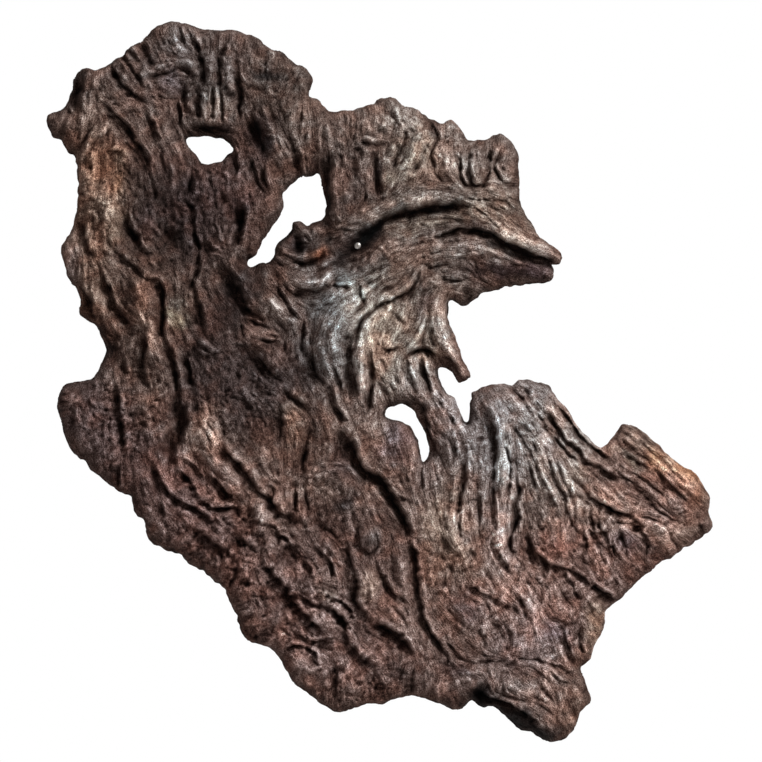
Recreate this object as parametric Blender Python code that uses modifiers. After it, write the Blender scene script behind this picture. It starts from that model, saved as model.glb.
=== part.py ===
"""Burl wall sculpture: one weathered slab of burl and root wood with a fixing screw.

The slab hangs flat on a wall. Its back lies in the plane y = 0, its front faces -Y,
and the origin is the middle of its width and height on the back.

The ragged outline, the holes and the carving are a free form. They are drawn on
squared paper laid over the front, SQUARES_WIDE squares over the width, counted
across from the left and down from the top. Heights and depths of the relief are
in the same squares, and BODY_SQUARES of them make BODY_DEPTH.
"""

import math

import bmesh
import bpy
import numpy as np

# Driving dimensions in metres
WIDTH = 0.800
HEIGHT = 0.865
BODY_DEPTH = 0.048
BACK_LIFT = 0.008
BACK_LIFT_REACH = 0.016
SCREW_HEAD_DIAMETER = 0.008
SCREW_HEAD_HEIGHT = 0.0031
SCREW_SHANK_DIAMETER = 0.004
HOLE_CLEARANCE = 0.0003
SEAT_DIAMETER = 0.011
SEAT_DEPTH = 0.002
PIECE_GAP = 0.0003
SCREW_END_GAP = 0.0005

# How finely the wood is cut into facets
VOXEL = 0.0042
WOOD_TRIANGLES = 9000
SCREW_STEPS = 24

# The relief in squares
BODY_SQUARES = 40
RIM_SHARE = 0.42
RIM_REACH = 27
THINNEST_SQUARES = 11
EDGE_FADE = 9
SCREW_AT = (357.6, 246.0)

OUTLINE = (
    (76, 158), (69, 152), (61, 140), (53, 137), (47, 122), (48, 115), (60, 109.5), (67, 106), (71, 93),
    (75, 78), (83, 67.5), (95, 68), (103, 67.5), (110, 63.5), (124, 53), (131, 45.5), (143, 40), (155, 28),
    (169, 21), (184, 22), (197, 27), (206, 29), (226, 29), (246, 32.5), (260, 37.5), (268, 46), (283, 52),
    (294, 61), (304, 65), (311, 74), (314, 80), (311, 91), (310, 96), (318, 98.5), (330, 109), (348, 110),
    (368, 105), (382, 98), (393, 97), (406, 105), (414, 107), (424, 114), (440, 122), (452, 119.5),
    (462, 130), (468, 140), (481, 139), (497, 134), (503, 134), (514, 144), (519, 155), (519, 166),
    (521, 181), (521, 200), (529, 217), (541, 236), (557, 248), (563, 256), (561, 263), (554, 264),
    (550, 263), (553, 267.5), (555, 275), (550, 282), (534, 284), (515, 286), (500, 290.5), (484, 292.5),
    (478, 299), (466, 306), (456, 303), (450.5, 301.5), (450, 311), (451, 324), (458, 343), (464, 360),
    (471.5, 374), (470, 379), (460.5, 383.5), (455, 380), (452, 372), (440, 368), (440, 379.5), (446, 391),
    (455, 398), (459, 407), (464.5, 420.5), (469, 422), (470.5, 414), (470.3, 396), (478, 390),
    (489, 385.5), (506.5, 384), (513, 385), (520, 379), (534, 381), (550, 386), (558, 398), (568, 410),
    (580, 427.5), (590.5, 438), (600, 446), (606, 443.5), (614, 437), (622.5, 424.5), (633.5, 425.5),
    (647, 434.5), (660, 446), (674.5, 459.5), (685, 467), (693, 471), (703.5, 485), (710.5, 499.5),
    (708.5, 512), (713, 525), (705, 535), (688, 547.5), (676.5, 556), (660.5, 564.5), (638.5, 581.5),
    (626.5, 595), (608, 609.5), (605, 616), (604, 628), (593.5, 650.5), (590, 661), (581.5, 667),
    (583, 675), (590.5, 694.5), (591, 704), (581.5, 712.5), (575.5, 728.5), (562, 741), (546, 741.5),
    (531.5, 732), (521, 730), (502.5, 714), (493, 706.5), (483, 708.5), (472, 700.5), (459, 711),
    (434.5, 702), (412.5, 695.5), (393, 701), (381, 705), (367, 704), (348.5, 712.5), (336, 712),
    (313.5, 698), (302.5, 688.5), (292, 682), (282, 661.5), (271, 649.5), (248, 640), (239.5, 624),
    (228.5, 597), (221, 586), (199, 569), (188, 564), (177.5, 555), (154.5, 544), (148, 534), (145, 521),
    (136, 515), (133, 503), (131, 496), (116.5, 490.5), (105, 480), (92.5, 471), (87, 461), (79, 458),
    (67, 439.5), (58.5, 407.5), (59, 396), (66, 384), (91, 379), (99, 369), (107.5, 350), (97, 328),
    (82.5, 316), (79, 309), (81.5, 301.5), (77, 288), (70.5, 282), (62.5, 252.5), (65, 242), (73, 229),
    (77, 205), (78, 186),
)

HOLES = (
    (
        (188, 139), (200, 137), (220, 138), (228, 141), (233, 149.5), (225, 156.5), (211, 164.5), (202, 159),
        (193, 149),
    ),
    (
        (319, 173.5), (323, 187), (326, 203), (323, 218), (308, 224.5), (300, 220.5), (293.5, 222),
        (291, 232), (277, 245.5), (271.5, 260), (262.5, 262.5), (252, 267.5), (249, 261), (257.5, 254),
        (265, 240.5), (283, 211.5), (284, 194.5), (292, 185), (304, 178), (313, 177),
    ),
    (
        (385.5, 414.5), (390, 408), (402.5, 405), (414, 410), (418.5, 421), (428, 441), (429, 452),
        (424, 462.5), (421.5, 457), (419, 441), (411, 426.5), (402, 422), (390, 419),
    ),
)

# Swells and hollows: centre across and down, half sizes, turn in degrees, rise
SWELLS = (
    (470, 215, 85, 60, 28, 17), (405, 255, 62, 42, 0, 14), (492, 163, 34, 30, 0, 7),
    (345, 325, 38, 78, -20, 15), (388, 342, 34, 44, 0, 9), (150, 320, 26, 85, -12, 8),
    (165, 222, 50, 52, 0, -12), (98, 225, 32, 85, 0, 6), (120, 95, 50, 55, 0, 6), (225, 66, 62, 40, 0, 6),
    (230, 560, 100, 62, 40, 7), (505, 450, 62, 78, 0, 11), (582, 478, 68, 50, 35, 11),
    (652, 492, 58, 44, 30, 3), (400, 560, 66, 90, 0, 8), (556, 545, 32, 30, 0, 8), (540, 695, 56, 48, 0, 8),
    (300, 470, 60, 80, 0, -3), (82, 415, 30, 42, 0, 6), (58, 122, 13, 13, 0, 6), (332, 125, 14, 14, 0, 5),
    (415, 150, 13, 18, 0, 4), (426, 178, 15, 17, 0, 4), (450, 165, 9, 14, 0, 4), (480, 163, 8, 17, 0, 5),
    (507, 166, 9, 14, 0, 5), (321, 249, 15, 11, 0, 8), (270, 212, 14, 15, 0, 6), (230, 167, 9, 10, 0, 4),
    (402, 439, 17, 21, 0, 7), (369, 533, 9, 14, 0, 9), (470, 532, 10, 11, 0, 6), (306, 668, 16, 15, 0, 5),
    (352, 676, 16, 14, 0, 5), (327, 673, 11, 11, 0, 4), (283, 643, 12, 12, 0, 5), (284, 500, 11, 16, 0, 6),
    (177, 324, 10, 13, 0, 5), (148, 228, 11, 18, 0, 5), (170, 238, 14, 13, 0, -5), (165, 125, 12, 20, 0, 4),
    (305, 82, 12, 16, 0, 4), (388, 174, 12, 16, 0, 4), (450, 130, 11, 10, 0, 4), (306, 584, 8, 15, 0, -5),
    (300, 245, 22, 16, -35, -13), (171, 446, 9, 17, 0, -11), (110, 85, 10, 10, 0, 4), (168, 88, 12, 12, 0, 4),
    (552, 628, 12, 12, 0, -4), (592, 628, 14, 20, 0, 4), (443, 482, 10, 12, 0, 4), (505, 275, 20, 9, 5, -7),
    (244, 352, 14, 12, 0, -5), (430, 572, 12, 16, 0, 4), (330, 590, 16, 18, 0, 4), (660, 488, 12, 9, 30, -6),
    (609, 481, 13, 10, 0, -7), (480, 694, 8, 14, 0, -14), (215, 375, 20, 24, 0, 4),
    (250, 425, 16, 18, 0, 4), (515, 640, 12, 18, 0, 3), (262, 342, 20, 12, 30, 4),
)

# Grooves: width of the dark floor, depth, points along it
GROOVES = (
    (6, 7, ((84, 82), (78, 97), (73, 110))),
    (5, 8, ((98, 124), (85, 142), (76, 154))),
    (6, 9, ((114, 64), (120, 80), (132, 100), (148, 118), (153, 140), (160, 143))),
    (5, 7, ((163, 45), (166, 62), (176, 62), (187, 57))),
    (6, 7, ((184, 82), (186, 100), (190, 116))),
    (6, 8, ((203, 72), (214, 87), (230, 95))),
    (8, 12, ((188, 127), (210, 129), (234, 131))),
    (13, 18, ((250, 112), (258, 128), (264, 146), (261, 160))),
    (6, 7, ((268, 70), (268, 82))),
    (5, 6, ((302, 105), (303, 118), (300, 135))),
    (9, 14, ((331, 150), (328, 170), (329, 200), (329, 216), (340, 226))),
    (6, 8, ((297, 150), (298, 162), (302, 172))),
    (7, 11, ((128, 203), (128, 218), (136, 240), (148, 260))),
    (5, 7, ((142, 160), (152, 173))),
    (6, 7, ((165, 163), (172, 181))),
    (8, 10, ((193, 172), (191, 188), (186, 199))),
    (5, 9, ((180, 200), (188, 213), (198, 230), (201, 256), (195, 275), (189, 292))),
    (5, 8, ((88, 216), (87, 240), (95, 258))),
    (8, 10, ((78, 284), (88, 297), (97, 320))),
    (6, 9, ((104, 276), (110, 292), (118, 308), (133, 325), (133, 340))),
    (5, 9, ((118, 255), (138, 271), (152, 284))),
    (9, 11, ((152, 284), (161, 302), (165, 330), (175, 356), (189, 374))),
    (5, 8, ((145, 320), (147, 347), (144, 364), (148, 387))),
    (7, 8, ((197, 298), (200, 315), (202, 334))),
    (8, 10, ((118, 384), (122, 410), (124, 440), (132, 463), (148, 477))),
    (8, 13, ((176, 388), (181, 418), (178, 440), (172, 460))),
    (5, 11, ((163, 465), (170, 485), (180, 498), (203, 511), (212, 517))),
    (6, 10, ((193, 528), (205, 534), (222, 550), (238, 559))),
    (4, 7, ((205, 548), (201, 568))),
    (10, 15, ((222, 262), (238, 288), (248, 308), (266, 322))),
    (9, 11, ((243, 320), (243, 337))),
    (13, 17, ((250, 348), (262, 362), (281, 384))),
    (6, 9, ((282, 388), (298, 402), (309, 408))),
    (6, 8, ((281, 404), (282, 428), (280, 442))),
    (5, 8, ((313, 427), (306, 448), (304, 472))),
    (5, 8, ((304, 320), (305, 340), (303, 356))),
    (11, 10, ((313, 345), (316, 375), (327, 383))),
    (5, 10, ((329, 384), (334, 402), (348, 422))),
    (7, 10, ((243, 205), (243, 222), (238, 246))),
    (5, 8, ((263, 163), (266, 180), (270, 195))),
    (5, 8, ((276, 287), (285, 303), (298, 318))),
    (7, 9, ((290, 259), (310, 262), (332, 254))),
    (11, 16, ((332, 253), (348, 250), (360, 239), (385, 222), (405, 214), (440, 208), (474, 209))),
    (10, 16, ((455, 237), (478, 239), (500, 246), (520, 253), (548, 262))),
    (4, 6, ((473, 245), (478, 275))),
    (5, 7, ((485, 259), (502, 262), (520, 270))),
    (4, 8, ((484, 141), (474, 146), (469, 162), (472, 182), (482, 184), (491, 168), (490, 148))),
    (4, 6, ((502, 150), (497, 168), (502, 184))),
    (5, 11, ((380, 152), (382, 175), (380, 202))),
    (4, 6, ((404, 124), (416, 136))),
    (4, 6, ((360, 143), (388, 145))),
    (4, 8, ((378, 240), (369, 255), (372, 268))),
    (6, 13, ((408, 291), (387, 302), (371, 314), (355, 336), (352, 360), (356, 380), (358, 396))),
    (7, 9, ((372, 360), (373, 385), (369, 415))),
    (7, 9, ((391, 311), (405, 325))),
    (9, 10, ((419, 343), (434, 351))),
    (8, 11, ((440, 352), (453, 361), (461, 381))),
    (5, 7, ((420, 363), (433, 390))),
    (8, 15, ((341, 430), (354, 450), (364, 469), (382, 482), (398, 508), (408, 525), (409, 538))),
    (8, 15, ((409, 538), (417, 556), (416, 572), (421, 596), (423, 616), (436, 638), (448, 658))),
    (5, 6, ((340, 482), (346, 496))),
    (5, 9, ((402, 402), (423, 405), (428, 432), (441, 458))),
    (8, 11, ((484, 408), (493, 440), (492, 470), (495, 514))),
    (4, 8, ((504, 455), (508, 480), (506, 512))),
    (5, 11, ((516, 483), (518, 505), (513, 540), (522, 560))),
    (4, 8, ((535, 459), (543, 480), (553, 496))),
    (4, 9, ((548, 459), (559, 480), (567, 508))),
    (5, 9, ((548, 414), (569, 439), (585, 455), (606, 480))),
    (5, 9, ((581, 438), (608, 459))),
    (5, 8, ((516, 384), (537, 404))),
    (5, 8, ((621, 450), (646, 468))),
    (5, 8, ((631, 480), (652, 498))),
    (7, 8, ((653, 469), (668, 484), (678, 498))),
    (5, 9, ((627, 521), (647, 541), (646, 557))),
    (6, 8, ((573, 508), (574, 530))),
    (5, 10, ((468, 460), (465, 480), (461, 504), (459, 532), (466, 543), (479, 541))),
    (5, 8, ((531, 540), (540, 572))),
    (8, 11, ((562, 553), (585, 570), (600, 585), (616, 601))),
    (7, 9, ((566, 568), (574, 598))),
    (5, 8, ((472, 583), (495, 598), (512, 608))),
    (5, 8, ((515, 592), (529, 616), (533, 622))),
    (5, 9, ((465, 660), (500, 659), (537, 659), (575, 671))),
    (6, 9, ((445, 641), (465, 659))),
    (8, 13, ((412, 676), (410, 696))),
    (6, 10, ((370, 618), (400, 636), (412, 656))),
    (8, 13, ((330, 605), (345, 625), (348, 643), (373, 664))),
    (8, 14, ((347, 546), (357, 576), (353, 600), (367, 613))),
    (8, 14, ((263, 558), (266, 568), (284, 585), (288, 600), (312, 620), (324, 631))),
    (5, 8, ((383, 572), (390, 590), (406, 600))),
    (5, 8, ((300, 650), (317, 664))),
    (6, 8, ((376, 672), (388, 692))),
    (5, 9, ((317, 520), (333, 533), (341, 541))),
    (5, 8, ((326, 543), (334, 562))),
    (5, 9, ((287, 545), (300, 566))),
    (8, 14, ((222, 440), (229, 452), (249, 474), (264, 491), (274, 500), (280, 513), (303, 521))),
    (5, 7, ((405, 664), (398, 682))),
    (5, 8, ((359, 527), (361, 543), (370, 553))),
    (4, 6, ((190, 352), (192, 370), (196, 386))),
    (4, 6, ((240, 396), (248, 401), (256, 409))),
    (4, 6, ((236, 368), (241, 382))),
    (4, 5, ((222, 412), (226, 430), (224, 444))),
    (4, 6, ((562, 624), (568, 645), (577, 664))),
    (4, 5, ((578, 626), (582, 650), (588, 662))),
    (4, 5, ((484, 612), (481, 628), (484, 642))),
    (4, 5, ((500, 620), (510, 634), (506, 652))),
)

# Ridges: width, rise, points along the crest
RIDGES = (
    (11, 7, ((108, 125), (90, 150), (85, 175), (84, 200))),
    (11, 7, ((115, 165), (113, 200), (118, 235), (128, 256))),
    (7, 5, ((100, 255), (116, 288))),
    (11, 10, ((138, 276), (146, 310), (155, 345), (170, 372), (166, 412))),
    (8, 6, ((88, 258), (93, 290), (101, 313))),
    (15, 12, ((196, 425), (215, 455), (237, 482), (258, 498), (268, 524), (254, 550))),
    (8, 7, ((262, 288), (275, 308), (297, 325), (298, 350))),
    (6, 5, ((283, 404), (303, 418))),
    (13, 9, ((372, 287), (350, 300), (334, 322), (329, 350), (335, 378))),
    (6, 6, ((408, 283), (380, 302), (362, 320), (348, 345))),
    (6, 6, ((395, 305), (376, 320), (364, 345), (364, 385))),
    (9, 9, ((440, 292), (435, 318), (446, 346), (464, 376))),
    (6, 5, ((424, 323), (414, 343), (402, 354))),
    (7, 6, ((372, 216), (398, 202), (440, 196), (474, 200), (500, 222), (530, 241), (558, 256))),
    (7, 6, ((372, 236), (400, 224), (440, 221), (470, 222), (500, 233), (522, 243))),
    (7, 5, ((455, 251), (490, 251), (520, 265))),
    (6, 8, ((488, 401), (499, 434), (502, 470), (501, 508), (500, 545), (514, 570))),
    (9, 6, ((447, 405), (462, 425), (474, 455))),
    (9, 7, ((450, 500), (452, 532), (468, 558))),
    (9, 6, ((398, 540), (402, 565), (402, 582), (406, 597))),
    (10, 7, ((362, 563), (370, 582), (370, 604))),
    (7, 5, ((315, 611), (330, 624), (340, 637))),
    (6, 5, ((330, 601), (350, 615), (362, 621))),
    (9, 6, ((640, 444), (670, 470), (699, 500))),
    (7, 5, ((584, 484), (600, 500), (625, 511), (655, 515), (674, 535))),
    (5, 6, ((319, 267), (342, 254))),
    (5, 5, ((294, 272), (306, 284), (318, 286), (336, 270))),
    (6, 5, ((320, 530), (332, 558))),
    (5, 5, ((255, 464), (262, 480), (276, 484))),
    (8, 6, ((178, 506), (190, 516), (186, 530))),
    (7, 5, ((195, 517), (214, 538))),
    (6, 6, ((243, 366), (262, 380), (280, 391))),
    (6, 4, ((518, 655), (524, 636), (527, 618))),
    (6, 4, ((545, 655), (543, 638), (537, 626))),
    (7, 4, ((212, 372), (214, 392), (208, 408))),
)

# Steps: rise of the upper side, drop of the lower side, reach, points with the drop on their right
STEPS = (
    (3, 9, 16, ((674, 546), (664, 529), (650, 521), (623, 516), (600, 505), (581, 488))),
    (2, 11, 26, ((562, 739), (548, 714), (524, 701), (497, 698))),
)

COLLECTION_NAME = "burl_wall_sculpture"


def clear_scene():
    for scene_object in list(bpy.data.objects):
        bpy.data.objects.remove(scene_object, do_unlink=True)


def make_collection(name):
    collection = bpy.data.collections.new(name)
    bpy.context.scene.collection.children.link(collection)
    return collection


def make_material(name, colour, roughness, metallic=0.0):
    material = bpy.data.materials.new(name)
    material.use_nodes = True
    shader = material.node_tree.nodes["Principled BSDF"]
    shader.inputs["Base Color"].default_value = (*colour, 1.0)
    shader.inputs["Roughness"].default_value = roughness
    shader.inputs["Metallic"].default_value = metallic
    material.diffuse_color = (*colour, 1.0)
    return material


def smooth_line(points, closed=False, steps=4):
    """A Catmull-Rom curve through the points."""
    points = np.array(points, float)
    if closed:
        padded = np.vstack([points[-1:], points, points[:2]])
    else:
        padded = np.vstack([2 * points[0] - points[1], points, 2 * points[-1] - points[-2]])
    before, start, end, after = padded[:-3], padded[1:-2], padded[2:-1], padded[3:]
    rows = []
    for step in range(steps):
        t = step / steps
        rows.append(
            0.5 * (2 * start + (end - before) * t
                   + (2 * before - 5 * start + 4 * end - after) * t ** 2
                   + (3 * start - before - 3 * end + after) * t ** 3)
        )
    line = np.stack(rows, axis=1).reshape(-1, 2)
    return line if closed else np.vstack([line, points[-1:]])


LOOPS = [smooth_line(loop, closed=True) for loop in (OUTLINE, *HOLES)]
LEFT, TOP = LOOPS[0].min(axis=0)
RIGHT, BOTTOM = LOOPS[0].max(axis=0)
SQUARE_WIDTH = WIDTH / (RIGHT - LEFT)
SQUARE_HEIGHT = HEIGHT / (BOTTOM - TOP)
SQUARE_DEPTH = BODY_DEPTH / BODY_SQUARES


def to_metres(points):
    """Squares across and down to metres along X and Z."""
    points = np.asarray(points, float)
    x = (points[..., 0] - (LEFT + RIGHT) / 2) * SQUARE_WIDTH
    z = ((TOP + BOTTOM) / 2 - points[..., 1]) * SQUARE_HEIGHT
    return np.stack([x, z], axis=-1)


def to_squares(x, z):
    across = x / SQUARE_WIDTH + (LEFT + RIGHT) / 2
    down = (TOP + BOTTOM) / 2 - z / SQUARE_HEIGHT
    return np.stack([across, down], axis=-1)


def line_distance(points, line, reach):
    """Distance from points to a line, signed by side, and infinite beyond the reach."""
    distance = np.full(len(points), np.inf)
    side = np.ones(len(points))
    low = line.min(axis=0) - reach
    high = line.max(axis=0) + reach
    near = np.nonzero(np.all((points > low) & (points < high), axis=1))[0]
    for start, end in zip(line[:-1], line[1:]):
        along = end - start
        offset = points[near] - start
        share = np.clip(offset @ along / (along @ along), 0, 1)
        gap = offset - share[:, None] * along
        length = np.hypot(gap[:, 0], gap[:, 1])
        closer = length < distance[near]
        chosen = near[closer]
        distance[chosen] = length[closer]
        turn = along[0] * offset[closer, 1] - along[1] * offset[closer, 0]
        side[chosen] = np.where(turn >= 0, 1, -1)
    return distance, side


def rim_distance(points):
    """Distance to the nearest rim, outer or round a hole, in squares."""
    distance = np.full(len(points), np.inf)
    for loop in LOOPS:
        closed = np.vstack([loop, loop[:1]])
        distance = np.minimum(distance, line_distance(points, closed, RIM_REACH)[0])
    return distance


def swell(points, centre_across, centre_down, long, short, turn, rise):
    cosine = math.cos(math.radians(turn))
    sine = math.sin(math.radians(turn))
    across = points[:, 0] - centre_across
    down = points[:, 1] - centre_down
    share = ((across * cosine + down * sine) / long) ** 2 + ((down * cosine - across * sine) / short) ** 2
    return rise * np.clip(1 - share, 0, None) ** 1.5


def groove(points, width, depth, line):
    """A crease with a narrow floor and shoulders that round over into the folds beside it."""
    floor = 0.3 * width
    reach = 1.5 * width + 0.25 * depth
    distance, _ = line_distance(points, line, reach + floor)
    share = np.clip((distance - floor) / reach, 0, 1)
    return depth * (1 - share) ** 1.6


def ridge(points, width, rise, line):
    distance, _ = line_distance(points, line, 2.5 * width)
    return rise * np.exp(-(distance / width) ** 2)


def step(points, rise, drop, reach, line):
    distance, side = line_distance(points, line, 2 * reach)
    fade = np.clip(1 - distance / (2 * reach), 0, 1) ** 1.5
    return np.where(side > 0, -drop, rise) * fade * np.clip(distance / 2, 0, 1)


def relief(points):
    """Height of the front over the wall, in squares, at points given in squares."""
    rim = np.minimum(rim_distance(points), RIM_REACH)
    body = np.full(len(points), float(BODY_SQUARES))
    for values in SWELLS:
        body += swell(points, *values)
    roll = np.sqrt(1 - (1 - rim / RIM_REACH) ** 2)
    height = body * (RIM_SHARE + (1 - RIM_SHARE) * roll)
    fade = np.clip(0.35 + rim / EDGE_FADE, 0, 1)
    raised = np.zeros(len(points))
    for width, rise, line in RIDGES:
        raised = np.maximum(raised, ridge(points, width, rise, smooth_line(line)))
    sunk = np.zeros(len(points))
    for width, depth, line in GROOVES:
        sunk = np.maximum(sunk, groove(points, width, depth, smooth_line(line)))
    height += (raised - sunk) * fade
    for rise, drop, reach, line in STEPS:
        height += step(points, rise, drop, reach, smooth_line(line)) * fade
    return np.maximum(height, THINNEST_SQUARES)


def mesh_object(name, mesh, collection, material=None):
    made = bpy.data.objects.new(name, mesh)
    collection.objects.link(made)
    if material:
        mesh.materials.clear()
        mesh.materials.append(material)
    return made


def evaluated_mesh(source):
    """The object's mesh after its modifiers, as a new mesh."""
    graph = bpy.context.evaluated_depsgraph_get()
    return bpy.data.meshes.new_from_object(source.evaluated_get(graph))


def outline_plate(collection):
    """The outline with its holes as a flat plate from y = -BODY_DEPTH to y = 0."""
    curve = bpy.data.curves.new("outline", "CURVE")
    curve.dimensions = "2D"
    curve.fill_mode = "BOTH"
    curve.extrude = BODY_DEPTH / 2
    for loop in LOOPS:
        spline = curve.splines.new("POLY")
        spline.points.add(len(loop) - 1)
        for point, (x, z) in zip(spline.points, to_metres(loop)):
            point.co = (x, z, 0.0, 1.0)
        spline.use_cyclic_u = True
    guide = bpy.data.objects.new("outline", curve)
    collection.objects.link(guide)
    mesh = evaluated_mesh(guide)
    bpy.data.objects.remove(guide)
    edit = bmesh.new()
    edit.from_mesh(mesh)
    bmesh.ops.remove_doubles(edit, verts=edit.verts, dist=0.00001)
    edit.to_mesh(mesh)
    edit.free()
    plate = mesh_object("plate", mesh, collection)
    points = np.empty(len(mesh.vertices) * 3)
    mesh.vertices.foreach_get("co", points)
    points = points.reshape(-1, 3)
    stood = np.stack([points[:, 0], -points[:, 2] - BODY_DEPTH / 2, points[:, 1]], axis=1)
    mesh.vertices.foreach_set("co", stood.ravel())
    mesh.update()
    return plate


def remeshed(source, collection):
    """The object cut into even small faces."""
    remesh = source.modifiers.new("even faces", "REMESH")
    remesh.mode = "VOXEL"
    remesh.voxel_size = VOXEL
    mesh = evaluated_mesh(source)
    bpy.data.objects.remove(source)
    return mesh_object("carved", mesh, collection)


def carve(mesh):
    """Lifts the plate's front to the relief and bends the rim's back off the wall."""
    points = np.empty(len(mesh.vertices) * 3)
    mesh.vertices.foreach_get("co", points)
    points = points.reshape(-1, 3)
    share = np.clip(-points[:, 1] / BODY_DEPTH, 0, 1)
    squares = to_squares(points[:, 0], points[:, 2])
    front = relief(squares) * SQUARE_DEPTH
    rim = rim_distance(squares) * min(SQUARE_WIDTH, SQUARE_HEIGHT)
    bend = np.clip(1 - rim / BACK_LIFT_REACH, 0, 1)
    back = BACK_LIFT * (1 - np.sqrt(1 - bend ** 2))
    points[:, 1] = -(back + (front - back) * share)
    mesh.vertices.foreach_set("co", points.ravel())
    mesh.update()


def flatten_back(mesh):
    """Puts the vertices that lie almost on the wall exactly on it."""
    for vertex in mesh.vertices:
        if vertex.co.y > -0.0006:
            vertex.co.y = 0.0


def cylinder(name, collection, radius, depth, x, y, z):
    bpy.ops.mesh.primitive_cylinder_add(
        vertices=SCREW_STEPS, radius=radius, depth=depth, location=(x, y, z), rotation=(math.pi / 2, 0, 0)
    )
    made = bpy.context.active_object
    made.name = name
    for owner in list(made.users_collection):
        owner.objects.unlink(made)
    collection.objects.link(made)
    return made


def mark_cutter(cutter):
    cutter.hide_render = True
    cutter.display_type = "WIRE"


def cut(target, cutter, name):
    boolean = target.modifiers.new(name, "BOOLEAN")
    boolean.operation = "DIFFERENCE"
    boolean.solver = "EXACT"
    boolean.object = cutter


def screw_place():
    """Where the screw's axis meets the wall, and the height of its seat."""
    x, z = to_metres(SCREW_AT)
    height = relief(np.array([SCREW_AT], float))[0] * SQUARE_DEPTH
    return x, z, height - SEAT_DEPTH


def make_slab(parts, cutters):
    """The carved slab of wood, flat at the back, with the screw's seat and hole."""
    carved = remeshed(outline_plate(parts), parts)
    carve(carved.data)
    faces = 2 * len(carved.data.polygons)
    thin = carved.modifiers.new("fewer faces", "DECIMATE")
    thin.ratio = WOOD_TRIANGLES / faces
    thin.use_collapse_triangulate = True
    mesh = evaluated_mesh(carved)
    bpy.data.objects.remove(carved)
    flatten_back(mesh)
    wood = make_material("weathered burl wood", (0.115, 0.078, 0.062), 0.85)
    slab = mesh_object("burl_slab", mesh, parts, wood)
    x, z, seat = screw_place()
    clear = SCREW_SHANK_DIAMETER / 2 + HOLE_CLEARANCE
    front_room = 2 * BODY_DEPTH
    seat_cutter = cylinder(
        "seat_cutter", cutters, SEAT_DIAMETER / 2, front_room, x, -seat - front_room / 2, z
    )
    hole_cutter = cylinder("hole_cutter", cutters, clear, 3 * BODY_DEPTH, x, 0, z)
    for name, cutter in (("seat", seat_cutter), ("hole", hole_cutter)):
        mark_cutter(cutter)
        cut(slab, cutter, name)
    return slab


def make_screw(parts, cutters):
    """A round pan-head screw, its head on the seat and its shank through the wood."""
    x, z, seat = screw_place()
    head = SCREW_HEAD_DIAMETER / 2
    shank = SCREW_SHANK_DIAMETER / 2
    length = seat + PIECE_GAP - SCREW_END_GAP
    dome = SCREW_HEAD_HEIGHT * 0.55
    profile = [(0.0, SCREW_HEAD_HEIGHT)]
    for turn in (25, 50, 75, 90):
        angle = math.radians(turn)
        profile.append((head * math.sin(angle), dome + (SCREW_HEAD_HEIGHT - dome) * math.cos(angle)))
    profile += [(head, 0.0), (shank, 0.0), (shank, -length), (0.0, -length)]
    mesh = bpy.data.meshes.new("screw_profile")
    edges = [(i, i + 1) for i in range(len(profile) - 1)]
    mesh.from_pydata([(radius, 0.0, height) for radius, height in profile], edges, [])
    steel = make_material("dull steel", (0.55, 0.54, 0.53), 0.35, 1.0)
    screw = mesh_object("fixing_screw", mesh, parts, steel)
    spin = screw.modifiers.new("turned", "SCREW")
    spin.steps = SCREW_STEPS
    spin.render_steps = SCREW_STEPS
    spin.use_merge_vertices = True
    spin.merge_threshold = 0.00001
    screw.location = (x, -seat - PIECE_GAP, z)
    screw.rotation_euler = (math.pi / 2, 0, 0)
    recess_width = SCREW_HEAD_DIAMETER * 0.14
    recess_length = SCREW_HEAD_DIAMETER * 0.52
    recess_depth = SCREW_HEAD_HEIGHT * 0.5
    for name, size in (
        ("recess_flat", (recess_length, recess_width)),
        ("recess_tall", (recess_width, recess_length)),
    ):
        bpy.ops.mesh.primitive_cube_add(size=1.0)
        cutter = bpy.context.active_object
        cutter.name = name
        for owner in list(cutter.users_collection):
            owner.objects.unlink(cutter)
        cutters.objects.link(cutter)
        top = seat + PIECE_GAP + SCREW_HEAD_HEIGHT
        cutter.scale = (size[0], 2 * recess_depth, size[1])
        cutter.location = (x, -top, z)
        mark_cutter(cutter)
        cut(screw, cutter, name)
    return screw


def main():
    clear_scene()
    parts = make_collection(COLLECTION_NAME)
    cutters = make_collection("cutters")
    make_slab(parts, cutters)
    make_screw(parts, cutters)


main()
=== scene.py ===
"""Burl wall sculpture: the weathered wood with its fine folds, fibres and colours.

Places on the front are in squares, counted across from the left and down from the
top, as the slab's outline is drawn. Heights over the wall are in the same squares,
DEPTH metres each. The tables place each fold, crease, knob and patch of colour; the
near-black patches are painted shade, and the colours also get painted shade in the
hollows, creases and rims that face away from the key light, with crests lighter. The
flakes, fibres and pores between them are seeded noise that follows the folds.
"""

import math

import bpy
import numpy as np
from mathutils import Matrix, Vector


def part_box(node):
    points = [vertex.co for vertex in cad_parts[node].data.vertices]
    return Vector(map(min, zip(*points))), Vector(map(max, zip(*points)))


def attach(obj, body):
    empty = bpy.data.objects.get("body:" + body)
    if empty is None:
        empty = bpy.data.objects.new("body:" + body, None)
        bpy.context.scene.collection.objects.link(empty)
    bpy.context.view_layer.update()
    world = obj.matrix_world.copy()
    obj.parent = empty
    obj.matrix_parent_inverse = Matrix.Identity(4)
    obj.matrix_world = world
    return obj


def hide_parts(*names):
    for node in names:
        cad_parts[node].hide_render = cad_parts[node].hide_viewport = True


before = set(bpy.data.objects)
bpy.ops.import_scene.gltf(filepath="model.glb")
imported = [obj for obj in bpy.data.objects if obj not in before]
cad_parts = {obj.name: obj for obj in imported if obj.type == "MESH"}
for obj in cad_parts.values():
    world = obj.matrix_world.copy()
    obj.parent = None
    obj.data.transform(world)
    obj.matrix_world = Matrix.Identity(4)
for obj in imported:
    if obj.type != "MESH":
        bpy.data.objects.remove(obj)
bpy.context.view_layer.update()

SEED = 11
VOXEL = 0.0014
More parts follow.
